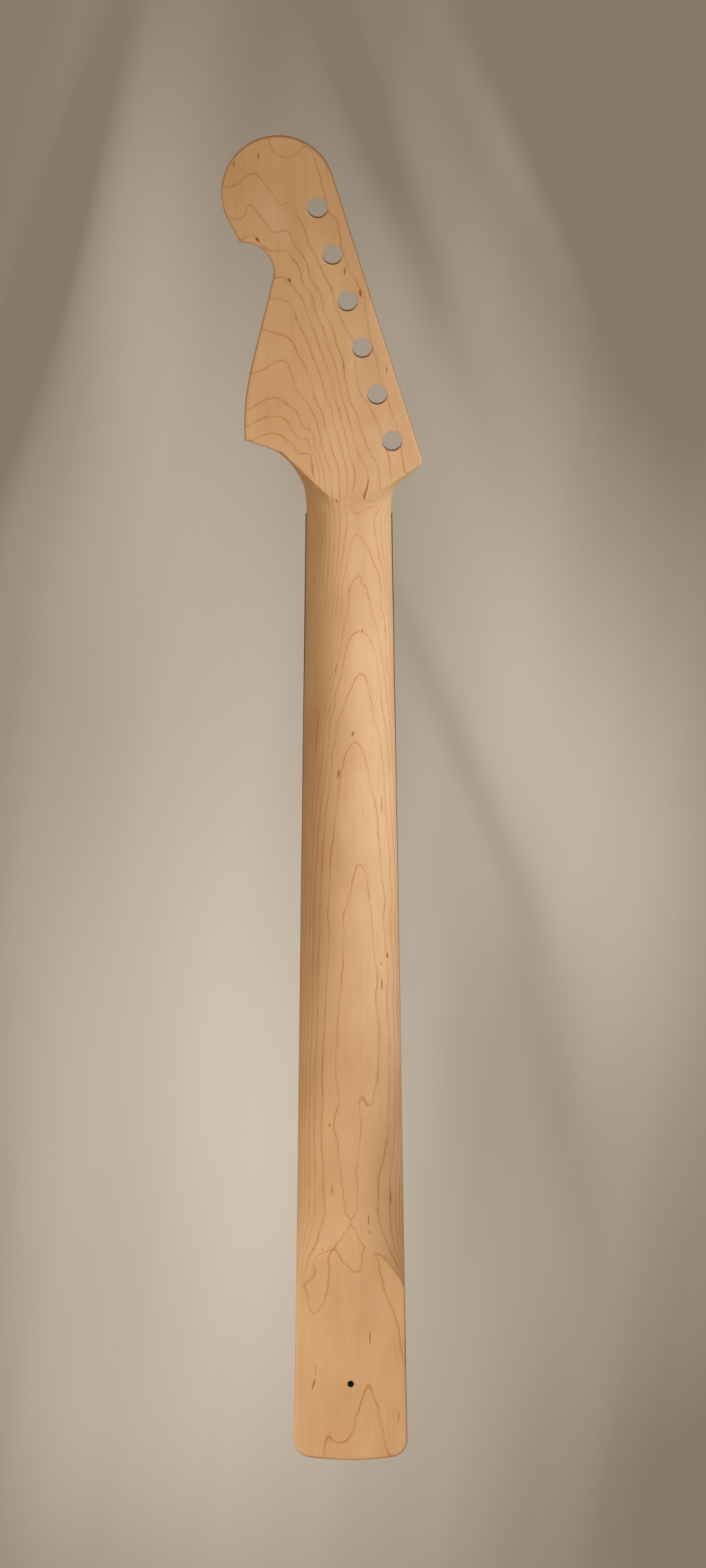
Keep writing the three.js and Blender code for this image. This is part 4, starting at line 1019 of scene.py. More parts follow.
def round_steps(count):
    angles = [2 * math.pi * step / count for step in range(count)]
    return [(math.cos(angle), math.sin(angle)) for angle in angles]


def turned(profile, start, direction):
    """A body of revolution: (distance along, radius) pairs from a start along a direction."""
    axis = Vector(direction).normalized()
    side = axis.orthogonal().normalized()
    other = axis.cross(side)
    spokes = [side * u + other * v for u, v in round_steps(ROUND_SEGMENTS)]
    rings = []
    for along, radius in profile:
        centre = Vector(start) + axis * along
        rings.append([tuple(centre + spoke * radius) for spoke in spokes])
    return lofted(rings)


def drill(radius, low, high, start, direction):
    return turned([(low, radius), (high, radius)], start, direction)


def rectangle(low_x, low_y, high_x, high_y, z):
    return [(low_x, low_y, z), (high_x, low_y, z), (high_x, high_y, z), (low_x, high_y, z)]


def block(low, high):
    return lofted([rectangle(*low[:2], *high[:2], z) for z in (low[2], high[2])])


def new_object(name, vertices, faces):
    mesh = bpy.data.meshes.new(name)
    mesh.from_pydata((np.asarray(vertices, float) * MM).tolist(), [], faces)
    mesh.validate()
    mesh.update()
    made = bpy.data.objects.new(name, mesh)
    bpy.context.scene.collection.objects.link(made)
    return made


def cut(target, pieces):
    """Takes closed bodies away from an object's mesh."""
    vertices, faces = [], []
    for some_vertices, some_faces in pieces:
        faces += [[len(vertices) + index for index in face] for face in some_faces]
        vertices += some_vertices
    tool = new_object("cutting_tool", vertices, faces)
    modifier = target.modifiers.new("cut", "BOOLEAN")
    modifier.operation = "DIFFERENCE"
    modifier.solver = "MANIFOLD"
    modifier.object = tool
    graph = bpy.context.evaluated_depsgraph_get()
    result = bpy.data.meshes.new_from_object(target.evaluated_get(graph))
    target.modifiers.clear()
    target.data = result
    bpy.data.objects.remove(tool)


def smooth_shaded(obj, degrees):
    obj.data.shade_smooth()
    obj.data.set_sharp_from_angle(angle=math.radians(degrees))
    return obj


rod_start_z = heel_end_z + ROD_CURVE_START
rod_end_z = nut_front_z - ROD_CURVE_END_BEFORE_NUT
rod_half_chord = (rod_end_z - rod_start_z) / 2
rod_sag = ROD_MIDDLE_DEPTH - ROD_END_DEPTH
rod_bend = (rod_half_chord**2 + rod_sag**2) / (2 * rod_sag)
rod_slope = math.asin(rod_half_chord / rod_bend)


def rod_centre(z):
    away = z - (rod_start_z + rod_end_z) / 2
    return glue_y - ROD_MIDDLE_DEPTH + rod_bend - math.sqrt(rod_bend**2 - away**2)


axis_start = Vector((0, rod_centre(rod_start_z), rod_start_z))
axis_out = Vector((0, math.sin(rod_slope), -math.cos(rod_slope)))
axis_to_heel_end = ROD_CURVE_START / math.cos(rod_slope)
adjuster_inner = axis_to_heel_end - ADJUSTER_RECESS - ADJUSTER_LENGTH
bore_floor = adjuster_inner - SEAT_GAP * 2 - WASHER_THICKNESS
rod_hole = ROD_RADIUS + ROD_GAP
locating_hole_z = heel_end_z + LOCATING_HOLE_FROM_END


def tuner_places():
    low, high = head_place(LOWEST_TUNER_SHARES), head_place(HIGHEST_TUNER_SHARES)
    return [low + (high - low) * index / (TUNER_COUNT - 1) for index in range(TUNER_COUNT)]


def flared(radius, low, high):
    """Profile of a through hole whose two rims are eased."""
    ease = HOLE_EDGE_ROUND
    angles = np.linspace(0, math.pi / 2, RIM_STEPS)
    rim = [(ease * (1 - math.cos(a)), radius + ease * (1 - math.sin(a))) for a in angles]
    return [
        (low - OVERRUN, radius + ease),
        *((low + depth, reach) for depth, reach in rim),
        *((high - depth, reach) for depth, reach in reversed(rim)),
        (high + OVERRUN, radius + ease),
    ]


def back_holes():
    """The six tuner holes and the heel's locating hole."""
    profile = flared(TUNER_HOLE_RADIUS, 0, HEAD_THICKNESS)
    pieces = [turned(profile, (x, 0, z), (0, 1, 0)) for x, z in tuner_places()]
    spot = (0, 0, locating_hole_z)
    return [*pieces, drill(LOCATING_HOLE_RADIUS, -OVERRUN, LOCATING_HOLE_DEPTH, spot, (0, 1, 0))]


def rod_channel():
    """The routed channel, whose floor follows the rod."""
    half = CHANNEL_WIDTH / 2
    heights = np.linspace(rod_start_z, rod_end_z, CHANNEL_STEPS)
    return lofted([rectangle(-half, rod_centre(z) - rod_hole, half, glue_y + OVERRUN, z) for z in heights])


def anchor_pocket():
    half = ANCHOR_WIDTH / 2 + ANCHOR_GAP
    depth = ANCHOR_HEIGHT + ANCHOR_LENGTH * math.sin(rod_slope)
    floor = rod_centre(rod_end_z) - depth / 2 - ANCHOR_GAP
    top = rod_end_z + ANCHOR_LENGTH + ANCHOR_GAP
    return block((-half, floor, rod_end_z - ANCHOR_GAP), (half, glue_y + OVERRUN, top))


def build_maple():
    outline = maple_outline()
    points, triangles = triangulated(outline, *maple_points(outline))
    x, z = points.T
    gaps, _ = segment_gaps(points, outline)
    on_face = 1 - smooth(scoop_share(x, z) * EDGE_FADE_RATE)
    back = back_height(x, z) + rounding(gaps, EDGE_RADIUS * on_face)
    past_board = smooth((z - board_end_z - FRONT_EDGE_START) / FRONT_EDGE_FADE)
    front = ramp_height(z, ramp_centre_z - board_end_z) - rounding(gaps, EDGE_RADIUS * past_board)
    neck = new_object("maple_neck_shaped", *closed_sheet(points, triangles, back, front, MAPLE_WALL_ROWS))
    bore = ADJUSTER_RADIUS + ADJUSTER_SIDE_GAP
    cut(neck, back_holes())
    cut(neck, [rod_channel()])
    cut(neck, [anchor_pocket()])
    cut(neck, [drill(rod_hole, -OVERRUN, bore_floor + OVERRUN, axis_start, axis_out)])
    cut(neck, [drill(bore, bore_floor, axis_to_heel_end + OVERRUN, axis_start, axis_out)])
    return smooth_shaded(neck, MAPLE_SHARP)


def thin_plate_kernel(places, centres):
    gap = np.linalg.norm(places[:, None] - centres, axis=2)
    return gap**2 * np.log(np.maximum(gap, SMALLEST))


def ring_sheet(lines):
    """A smooth sheet through ring lines, once the depth of the wood at each is taken off."""
    places = np.array([place for _, line in lines for place in line], float)
    numbers = np.array([number for number, line in lines for _ in line], float)
    values = numbers - RINGS_PER_MM_OF_DEPTH * back_height(*places.T)
    count = len(places)
    plane = np.concatenate((np.ones((count, 1)), places), 1)
    matrix = np.zeros((count + 3, count + 3))
    matrix[:count, :count] = thin_plate_kernel(places, places) + np.eye(count) * RING_SMOOTHING
    matrix[:count, count:] = plane
    matrix[count:, :count] = plane.T
    return places, np.linalg.solve(matrix, np.concatenate((values, np.zeros(3))))


def sheet_values(sheet, x, z):
    centres, weights = sheet
    values = []
    for first in range(0, len(x), CHUNK):
        spot = np.stack((x[first : first + CHUNK], z[first : first + CHUNK]), 1)
        values.append(thin_plate_kernel(spot, centres) @ weights[:-3] + weights[-3] + spot @ weights[-2:])
    return np.concatenate(values)


def ring_values(sheets, x, y, z):
    """Ring number at each place: the headstock's sheet gives way to the shaft's under the scoop."""
    head, shaft = (sheet_values(sheet, x, z) for sheet in sheets)
    part = smooth((head_edge(x) - z) / RING_CHANGE_LENGTH)
    return head + (shaft - head) * part + RINGS_PER_MM_OF_DEPTH * y


def vertex_vectors(mesh, name):
    values = np.empty(len(mesh.vertices) * 3)
    mesh.vertices.foreach_get(name, values)
    return values.reshape(-1, 3)


def mark_rings(obj):
    """Stores on each vertex its growth ring number and how many rings pass per millimetre."""
    mesh = obj.data
    x, y, z = (vertex_vectors(mesh, "co") / MM).T
    normal = vertex_vectors(mesh, "normal")
    sheets = [ring_sheet(HEAD_RINGS + HEAD_RING_GUIDES), ring_sheet(SHAFT_RINGS + SHAFT_RING_GUIDES)]
    here = ring_values(sheets, x, y, z)
    across = (ring_values(sheets, x + RING_SLOPE_STEP, y, z) - here) / RING_SLOPE_STEP
    up = (ring_values(sheets, x, y, z + RING_SLOPE_STEP) - here) / RING_SLOPE_STEP
    slope = np.stack((across, np.full(len(here), RINGS_PER_MM_OF_DEPTH), up), 1)
    slope -= (slope * normal).sum(1)[:, None] * normal
    for name, values in (("ring", here), ("ring_rate", np.linalg.norm(slope, axis=1))):
        layer = mesh.attributes.new(name, "FLOAT", "POINT")
        layer.data.foreach_set("value", values.astype(np.float32))


def dots(offset):
    """Label, offset and height of each dot of a set, two of them at the octave."""
    for fret in DOTTED_FRETS:
        z = (fret_z(fret) + fret_z(fret - 1)) / 2
        if fret == DOUBLE_DOTTED_FRET:
            yield f"{fret:02d}_a", -offset, z
            yield f"{fret:02d}_b", offset, z
        else:
            yield f"{fret:02d}", 0, z


def side_dot_y(z):
    return (board_bottom_y + board_top(board_half(z))) / 2


def board_cuts():
    """The fret slots, the nut's slot and the holes of the dots."""
    wide = BOARD_WIDTH_AT_HEEL_END
    for fret in range(1, FRET_COUNT + 1):
        z = fret_z(fret)
        floor = board_top(board_half(z)) - FRET_TANG_DEPTH - FRET_SLOT_FLOOR_GAP
        yield block((-wide, floor, z - FRET_SLOT_HALF), (wide, above_board_y, z + FRET_SLOT_HALF))
    yield block((-wide, board_top_y - NUT_SLOT_DEPTH, nut_front_z), (wide, above_board_y, nut_back_z))
    for _, x, z in dots(DOUBLE_FACE_DOT_OFFSET):
        floor = board_top(x) - FACE_DOT_DEPTH - DOT_GAP
        yield drill(FACE_DOT_RADIUS + DOT_GAP, floor, above_board_y, (x, 0, z), (0, 1, 0))
    for _, offset, middle in dots(DOUBLE_SIDE_DOT_OFFSET):
        z = middle + offset
        half = board_half(z)
        start = (0, side_dot_y(z), z)
        floor = half - SIDE_DOT_DEPTH - DOT_GAP
        yield drill(SIDE_DOT_RADIUS + DOT_GAP, floor, half + OVERRUN, start, (1, 0, 0))


def board_points(outline, end_z):
    """Places inside the board's outline at which its top is measured, and the links to keep."""
    margin_z = end_z - BOARD_END_MARGIN
    end_rows = np.arange(margin_z, end_z, BOARD_END_ROW_SPACING)
    rows = np.concatenate((np.arange(heel_end_z, margin_z, BOARD_ROW_SPACING), end_rows))
    columns = np.linspace(-1, 1, BOARD_COLUMNS)
    inner = np.concatenate([level_row(columns * (board_half(z) - BOARD_COLUMN_MARGIN), z) for z in rows])
    inner = inner[clear_of(outline, inner, BOARD_POINT_GAP)]
    rings, ring_of = inset_rings(outline, BOARD_EDGE_ROLL)
    kept = rings[:, 1] < margin_z
    rings, ring_of = rings[kept], ring_of[kept]
    return np.concatenate((rings, inner)), linked(rings, ring_of, 0)


def build_fingerboard():
    end_z = board_end_z - GLUE_LINE
    heel = heel_end_half(board_half)
    side = side_points(board_half, heel[-1][1], end_z)[1:]
    nut_end = straight(side[-1], np.array((-side[-1][0], end_z)), FACE_SPACING)[1:-1]
    outline = np.array([*heel, *side, *nut_end, *mirrored(side), *mirrored(heel)[:-1]])
    points, triangles = triangulated(outline, *board_points(outline, end_z))
    x, z = points.T
    gaps, _ = segment_gaps(points, outline)
    roll = BOARD_EDGE_ROLL * smooth((end_z - ROLL_END_MARGIN - z) / ROLL_FADE_LENGTH)
    top = np.minimum(board_top(x) - rounding(gaps, roll), ramp_height(z, RAMP_RADIUS))
    top = np.maximum(top, board_bottom_y + THINNEST_BOARD)
    bottom = np.full(len(points), board_bottom_y)
    board = new_object("fingerboard_shaped", *closed_sheet(points, triangles, bottom, top, BOARD_WALL_ROWS))
    cut(board, board_cuts())
    return smooth_shaded(board, BOARD_SHARP)


def fret_section():
    """Half-round crown and the tang below it, as (along the neck, up) pairs."""
    foot, half = FRET_CROWN_WIDTH / 2, FRET_TANG_THICKNESS / 2
    angles = np.linspace(0, math.pi, CROWN_STEPS)[1:-1]
    crown = [(foot * math.cos(a), FRET_CROWN_HEIGHT * math.sin(a) ** FRET_CROWN_FULLNESS) for a in angles]
    tang = [(-half, 0), (-half, -FRET_TANG_DEPTH), (half, -FRET_TANG_DEPTH), (half, 0)]
    return [(foot, 0), *crown, (-foot, 0), *tang]


def board_side(z):
    """Half width of the board, its rounded heel corners included."""
    across, up = np.array(heel_end_half(board_half)).T
    return board_half(z) if z > up[-1] else np.interp(z, up, across)


def build_fret(number):
    z = fret_z(number)
    end = board_side(z - FRET_CROWN_WIDTH / 2) - FRET_END_INSET
    inner = end - FRET_END_BEVEL_LENGTH
    ends = [(end - inset, size) for inset, size in FRET_END_STEPS]
    stations = [*ends, *((x, 1) for x in np.linspace(inner, -inner, FRET_STATIONS))]
    stations += [(-x, size) for x, size in reversed(ends)]
    rings = []
    for station, size in stations:
        seat = board_top(station) + FRET_SEAT_GAP
        bevel = FRET_END_BEVEL_SHARE * share((abs(station) - inner) / FRET_END_BEVEL_LENGTH)
        ring = []
        for along, up in fret_section():
            x = station - math.copysign(max(0, up) * bevel, station)
            ring.append((x, seat + (up * size if up > 0 else up), z + along))
        rings.append(ring)
    return smooth_shaded(new_object(f"fret_{number:02d}_wire", *lofted(rings)), FRET_SHARP)


def string_places():
    """Place across and half width of each string's slot."""
    for part in np.linspace(0, 1, STRING_COUNT):
        x = STRING_SPREAD / 2 - STRING_SPREAD * part
        yield x, (BASS_STRING_SLOT + (TREBLE_STRING_SLOT - BASS_STRING_SLOT) * part) / 2


def nut_columns(half):
    """Columns across the nut, closer together at its ends and in its slots."""
    columns = set(np.linspace(-half, half, NUT_COLUMNS))
    for side in (-1, 1):
        columns |= {side * (half - NUT_END_ROUND * part) for part in NUT_END_COLUMN_SHARES}
        for x, width in string_places():
            columns |= {x + side * width * part for part in SLOT_COLUMN_SHARES}
    return np.unique(np.round(list(columns), NUT_COLUMN_DECIMALS))


def build_nut():
    half = board_half(nut_back_z) - NUT_END_INSET
    low, high = nut_front_z + NUT_GAP, nut_back_z - NUT_GAP
    columns = nut_columns(half)
    rows = np.concatenate((low + np.array(NUT_FRONT_ROWS), np.linspace(low + NUT_ROW_START, high, NUT_ROWS)))
    x, z = (grid.ravel() for grid in np.meshgrid(columns, rows, indexing="ij"))
    behind = share((z - high + NUT_BACK_ROUND) / NUT_BACK_ROUND)
    uncut = board_top(x) + NUT_STAND_UP
    top = uncut - NUT_BACK_ROUND * quarter_round(behind * math.sqrt(STEEPEST_ROUND_SHARE))
    top -= NUT_FRONT_DROP * (1 - share((z - low) / NUT_FRONT_ROUND)) ** 2
    top -= NUT_END_DROP * (1 - share((half - np.abs(x)) / NUT_END_ROUND)) ** 2
    for place, width in string_places():
        across = (x - place) / width
        rise = STRING_SLOT_ROUND_SHARE * width * quarter_round(across * math.sqrt(STEEPEST_ROUND_SHARE))
        slot = np.minimum(top, uncut - STRING_SLOT_DEPTH + rise)
        top = np.where(np.abs(across) <= SLOT_WIDTH_SHARE, slot, top)
    bottom = np.full(x.shape, board_top_y - NUT_SLOT_DEPTH + NUT_GAP)
    index = np.arange(len(x)).reshape(len(columns), len(rows))
    quads = np.stack((index[:-1, :-1], index[1:, :-1], index[1:, 1:], index[:-1, 1:]), -1).reshape(-1, 4)
    nut = new_object("string_nut_shaped", *closed_sheet(np.stack((x, z), 1), quads, bottom, top, 1))
    return smooth_shaded(nut, NUT_SHARP)


def inlay(name, radius, ring_shares, depth, place):
    """A plug whose outer face follows a surface, with an eased rim and a flat inner end."""
    steps = [(radius * part, 0) for part in ring_shares]
    steps += [(radius - DOT_RIM, 0), (radius, DOT_RIM_DROP), (radius, depth)]
    way = round_steps(DOT_SEGMENTS)
    rings = [[place(u * reach, v * reach, drop) for u, v in way] for reach, drop in steps]
    return smooth_shaded(new_object(name, *lofted(rings)), DOT_SHARP)


def build_face_dot(label, x, z):
    def place(u, v, drop):
        level = board_top(x + u if drop < FACE_DOT_DEPTH else x)
        return (x + u, level - drop, z + v)

    name = f"face_dot_{label}_inlay"
    return inlay(name, FACE_DOT_RADIUS, FACE_DOT_RING_SHARES, FACE_DOT_DEPTH, place)


def build_side_dot(label, z):
    def place(u, v, drop):
        level = board_half(z + v if drop < SIDE_DOT_DEPTH else z)
        return (level - drop, side_dot_y(z) - u, z + v)

    name = f"side_dot_{label}_inlay"
    return inlay(name, SIDE_DOT_RADIUS, SIDE_DOT_RING_SHARES, SIDE_DOT_DEPTH, place)


def build_adjuster():
    ease = ADJUSTER_CHAMFER
    part = ease * ADJUSTER_CHAMFER_MIDDLE_SHARE
    profile = [
        (0, ADJUSTER_RADIUS - ADJUSTER_INNER_CHAMFER),
        (ADJUSTER_INNER_CHAMFER, ADJUSTER_RADIUS),
        (ADJUSTER_LENGTH - ease, ADJUSTER_RADIUS),
        (ADJUSTER_LENGTH - part, ADJUSTER_RADIUS - part),
        (ADJUSTER_LENGTH, ADJUSTER_RADIUS - ease),
    ]
    start = axis_start + axis_out * adjuster_inner
    nut = new_object("truss_rod_adjuster_turned", *turned(profile, start, axis_out))
    cut(nut, [drill(rod_hole, -OVERRUN, ADJUSTER_LENGTH + OVERRUN, start, axis_out)])
    upright = Vector((0, 0, 1)).rotation_difference(axis_out).to_matrix()
    half = ADJUSTER_SLOT_WIDTH / 2
    reach = ADJUSTER_RADIUS * 2
    low = ADJUSTER_LENGTH - ADJUSTER_SLOT_DEPTH
    for wide, deep in ((reach, half), (half, reach)):
        corners, faces = block((-wide, -deep, low), (wide, deep, ADJUSTER_LENGTH + OVERRUN))
        cut(nut, [([tuple(start + upright @ Vector(corner)) for corner in corners], faces)])
    return smooth_shaded(nut, ADJUSTER_SHARP)


class Signal:
    """A number carried by a node's output; arithmetic on it adds Math nodes."""

    def __init__(self, nodes, socket):
        self.nodes = nodes
        self.socket = socket

    def maths(self, operation, *others):
        inputs = dict(enumerate((self, *others)))
        return Signal(self.nodes, self.nodes.add("ShaderNodeMath", inputs, operation=operation).outputs[0])

    def __add__(self, other):
        return self.maths("ADD", other)

    def __sub__(self, other):
        return self.maths("SUBTRACT", other)

    def __mul__(self, other):
        return self.maths("MULTIPLY", other)

    def __truediv__(self, other):
        return self.maths("DIVIDE", other)

    def rest(self):
        """What is left of one."""
        return self.maths("MULTIPLY_ADD", -1, 1)

    def least(self, other):
        return self.maths("MINIMUM", other)

    def most(self, other):
        return self.maths("MAXIMUM", other)

    def spread(self, low, high, to_low=0, to_high=1):
        """Runs smoothly from one value to another while this signal goes from low to high."""
        inputs = dict(enumerate((self, low, high, to_low, to_high)))
        node = self.nodes.add("ShaderNodeMapRange", inputs, interpolation_type="SMOOTHSTEP")
        return Signal(self.nodes, node.outputs[0])


class Nodes:
    """A shader node tree, with short ways to fill it."""

    def __init__(self, owner):
        owner.use_nodes = True
        self.tree = owner.node_tree
        self.tree.nodes.clear()

    def fill(self, socket, value):
        """Joins a signal or another socket to this one, or sets a plain value on it."""
        value = getattr(value, "socket", value)
        if isinstance(value, bpy.types.NodeSocket):
            self.tree.links.new(value, socket)
        else:
            socket.default_value = (*value, 1) if socket.type == "RGBA" else value

    def add(self, kind, inputs=None, **settings):
        node = self.tree.nodes.new(kind)
        for key, value in settings.items():
            setattr(node, key, value)
        for key, value in (inputs or {}).items():
            self.fill(node.inputs[key], value)
        return node

    def vector(self, operation, *values):
        node = self.add("ShaderNodeVectorMath", dict(enumerate(values)), operation=operation)
        return node.outputs[0]

    def length(self, vector):
        node = self.add("ShaderNodeVectorMath", {0: vector}, operation="LENGTH")
        return Signal(self, node.outputs["Value"])

    def split(self, vector):
        """The three signals in a vector."""
        outputs = self.add("ShaderNodeSeparateXYZ", {0: vector}).outputs
        return [Signal(self, output) for output in outputs]

    def noise_at(self, vector, detail, rough):
        inputs = {"Vector": vector, "Scale": 1, "Detail": detail, "Roughness": rough}
        return Signal(self, self.add("ShaderNodeTexNoise", inputs).outputs["Fac"])

    def mix(self, part, first, second, blend="MIX"):
        inputs = {0: part, 6: first, 7: second}
        return self.add("ShaderNodeMix", inputs, data_type="RGBA", blend_type=blend).outputs[2]


class Look(Nodes):
    """A material's nodes round its one Principled shader."""

    def __init__(self, name):
        self.material = bpy.data.materials.new(name)
        super().__init__(self.material)
        self.shader = self.add("ShaderNodeBsdfPrincipled")
        self.output = self.add("ShaderNodeOutputMaterial", {0: self.shader.outputs[0]})
        coordinates = self.add("ShaderNodeTexCoord").outputs
        self.place = coordinates["Object"]
        self.normal = coordinates["Normal"]

    def noise(self, periods, detail, rough):
        """Noise with features of these sizes in millimetres."""
        node = self.add("ShaderNodeMapping", {"Vector": self.place, "Scale": per_mm(*periods)})
        return self.noise_at(node.outputs[0], detail, rough)

    def attribute(self, name):
        return Signal(self, self.add("ShaderNodeAttribute", attribute_name=name).outputs["Fac"])

    def grained(self, base, layers, blend="MIX"):
        """Lays grains over a base colour, and gives it back with the noise of each."""
        noises = []
        for noise, (low, high), part, colour in layers:
            noises.append(self.noise(*noise))
            base = self.mix(noises[-1].spread(low, high, 0, part), base, colour, blend)
        return base, noises

    def completed(self, base, roughness, height, bump_depth, bump_strength, plain):
        """Joins colour, roughness and bump, and sets plain values on the shader's own sockets."""
        bump = {"Height": height, "Distance": bump_depth * MM, "Strength": bump_strength}
        normal = self.add("ShaderNodeBump", bump).outputs[0]
        inputs = {"Base Color": base, "Roughness": roughness, "Normal": normal, **plain}
        for key, value in inputs.items():
            self.fill(self.shader.inputs[key], value)
        return self.material


def per_mm(*periods):
    """Texture scale for features of these sizes in millimetres."""
    return tuple(1 / (period * MM) for period in periods)


def from_middle(look, low, high, half_width, depth):
    """Distance from the middle of an ellipsoid laid along the back between two places, one at its skin."""
    run = np.array(high) - np.array(low)
    across, up = (np.array(high) + np.array(low)) / 2
    middle = Vector((across, back_height(across, up), up)) * MM
    moved = look.vector("SUBTRACT", look.place, middle)
    inputs = {"Vector": moved, "Angle": -math.atan2(run[0], run[1])}
    turn = look.add("ShaderNodeVectorRotate", inputs, rotation_type="Y_AXIS").outputs[0]
    half_length = np.linalg.norm(run) / 2
    return look.length(look.vector("MULTIPLY", turn, per_mm(half_width, depth, half_length)))


def with_streaks(look, base):
    """Mineral streaks, each an ellipsoid stretched along the grain."""
    total = 0
    for low, high, half_width, dark in STREAKS:
        away = from_middle(look, low, high, half_width, STREAK_DEPTH)
        total = away.spread(*STREAK_EDGE, dark, 0).most(total)
    stain = look.mix(total.spread(*STREAK_STAIN_RANGE), STREAK_PALE, STREAK_DARK)
    return look.mix(total.spread(*STREAK_SHOWN_RANGE), base, stain)


def with_shade_and_pale_patches(look, base):
    """Painted shade low on the headstock's treble side, and a paler place in the wood on the ball."""
    for low, high, half_width, tint in SHADE_AND_PALE_PATCHES:
        part = from_middle(look, low, high, half_width, PATCH_DEPTH).spread(*PATCH_EDGE, 1, 0)
        base = look.mix(part, base, tint, "MULTIPLY")
    return base


def in_hole(look, x, z, radius, shade):
    """One inside a hole through the back, from one depth to another, and nothing elsewhere."""
    moved = look.vector("SUBTRACT", look.place, (x * MM, 0, z * MM))
    away = look.length(look.vector("MULTIPLY", moved, (1, 0, 1)))
    inside = away.maths("LESS_THAN", (radius + HOLE_WALL_REACH) * MM)
    shallow, deep = shade
    return inside * look.split(look.place)[1].spread(shallow * MM, deep * MM)


def with_hole_shade(look, base):
    """Painted shade inside the tuner holes, and a painted shadow, near black, in the locating hole."""
    painted_bores = 0
    # Painted shade on the tuner holes' walls
    for x, z in tuner_places():
        painted_bores = in_hole(look, x, z, TUNER_HOLE_RADIUS, BORE_SHADE).most(painted_bores)
    base = look.mix(painted_bores, base, PAINTED_BORE_SHADE, "MULTIPLY")
    # Painted shadow, near black, deep in the locating hole
    hole_shadow = in_hole(look, 0, locating_hole_z, LOCATING_HOLE_RADIUS, HOLE_SHADOW_DEPTHS)
    return look.mix(hole_shadow, base, PAINTED_HOLE_SHADOW)


def painted_wall_shade(look, up):
    """One on the upright outer walls of headstock and heel, where they are darkened with painted shade."""
    steep = look.split(look.normal)[1].maths("ABSOLUTE").spread(*WALL_SHADE_FACING)
    (heel_low, heel_high), (head_low, head_high) = np.array((WALL_SHADE_HEEL, WALL_SHADE_HEAD)) * MM
    return steep * up.spread(heel_low, heel_high, 1, 0).most(up.spread(head_low, head_high))


def with_rings(look, base, up):
    """Growth lines with a warm glow beside them; gives the colour and the lines' own strength."""
    rate = look.attribute("ring_rate").most(LEAST_RING_RATE)
    drift = look.noise(*SLOW_DRIFT) * SLOW_DRIFT_WIDTH + look.noise(*QUICK_DRIFT) * QUICK_DRIFT_WIDTH - 1
    phase = (look.attribute("ring") + drift * rate.least(DRIFT_RATE_LIMIT)).maths("FRACT")
    behind = phase / rate
    ahead = phase.rest() / rate
    crowd = rate.spread(*CLOSE_RINGS) * rate.spread(*CROWDED_RINGS)
    strength = look.noise(*BROKEN_LINES).spread(*BROKEN_LINE_RANGE) * crowd
    line = behind.least(ahead).spread(0, LINE_WIDTH, 1, 0) * strength
    glow = behind.spread(0, GLOW_WIDTH_BEHIND, 1, 0).most(ahead.spread(0, GLOW_WIDTH_AHEAD, 1, 0))
    low, high = GLOW_FADES_UP
    fading = up.spread(low * MM, high * MM, 1, GLOW_LEFT_SHARE)
    warmth = look.noise(*WARM_PLACES).spread(*WARM_PLACE_RANGE) * fading
    between = (phase * phase.rest()).spread(0, MIDWAY_PRODUCT)
    base = look.mix(between * BETWEEN_LINES_SHARE, base, BETWEEN_LINES_TINT, "MULTIPLY")
    base = look.mix(glow * strength * warmth, base, GLOW_TINT, "MULTIPLY")
    return look.mix(line, base, LINE_TINT, "MULTIPLY"), line


def maple_look():
    """Sanded maple: soft fibres and clouding under growth lines that the neck's own shape cuts."""
    look = Look("bare_maple")
    up = look.split(look.place)[2]
    base, _ = look.grained(MAPLE_PALE, MAPLE_CLOUDS)
    base, noises = look.grained(base, MAPLE_GRAINS, "MULTIPLY")
    base, line = with_rings(look, base, up)
    base = with_shade_and_pale_patches(look, with_streaks(look, base))
    # Painted shade on the outer walls, then in the holes
    base = look.mix(painted_wall_shade(look, up), base, WALL_SHADE_TINT, "MULTIPLY")
    base = with_hole_shade(look, base)
    fibre = noises[-1]
    height = fibre * MAPLE_FIBRE_SHARE - line * MAPLE_LINE_SHARE
    roughness = fibre.spread(*ROUGHNESS_RANGE, *MAPLE_ROUGHNESS)
    plain = {"Specular IOR Level": MAPLE_SPECULAR}
    return look.completed(base, roughness, height, MAPLE_BUMP, MAPLE_BUMP_STRENGTH, plain)


def plain_wood_look(name):
    """Straight-grained wood with open pores, such as the board and the hidden strip."""
    light, dark, pore, stripe = WOODS[name]
    look = Look(name)
    layers = (
        (((stripe, stripe * 2, STRIPE_LENGTH), *STRIPE_DETAIL), STRIPE_RANGE, 1, dark),
        (*WOOD_DRIFT, dark),
        (*WOOD_FIBRE, dark),
        (*WOOD_PORE, pore),
    )
    base, (*_, fibre, pores) = look.grained(light, layers)
    height = fibre * WOOD_FIBRE_SHARE - pores.spread(*PORE_RANGE)
    roughness = fibre.spread(*ROUGHNESS_RANGE, *WOOD_ROUGHNESS)
    plain = {"Specular IOR Level": WOOD_SPECULAR}
    return look.completed(base, roughness, height, WOOD_BUMP, WOOD_BUMP_STRENGTH, plain)


def metal_look(name):
    """Worked metal: fine tool marks of a given size, with slightly tarnished patches."""
    light, dark, rough_low, rough_high, mark = METALS[name]
    look = Look(name)
    layers = ((*TARNISH, dark), ((mark, *MARK_DETAIL), MARK_RANGE, MARK_SHARE, dark))
    base, (_, marks) = look.grained(light, layers)
    roughness = marks.spread(*MARK_ROUGHNESS_RANGE, rough_low, rough_high)
    return look.completed(base, roughness, marks, METAL_BUMP, METAL_BUMP_STRENGTH, {"Metallic": 1})


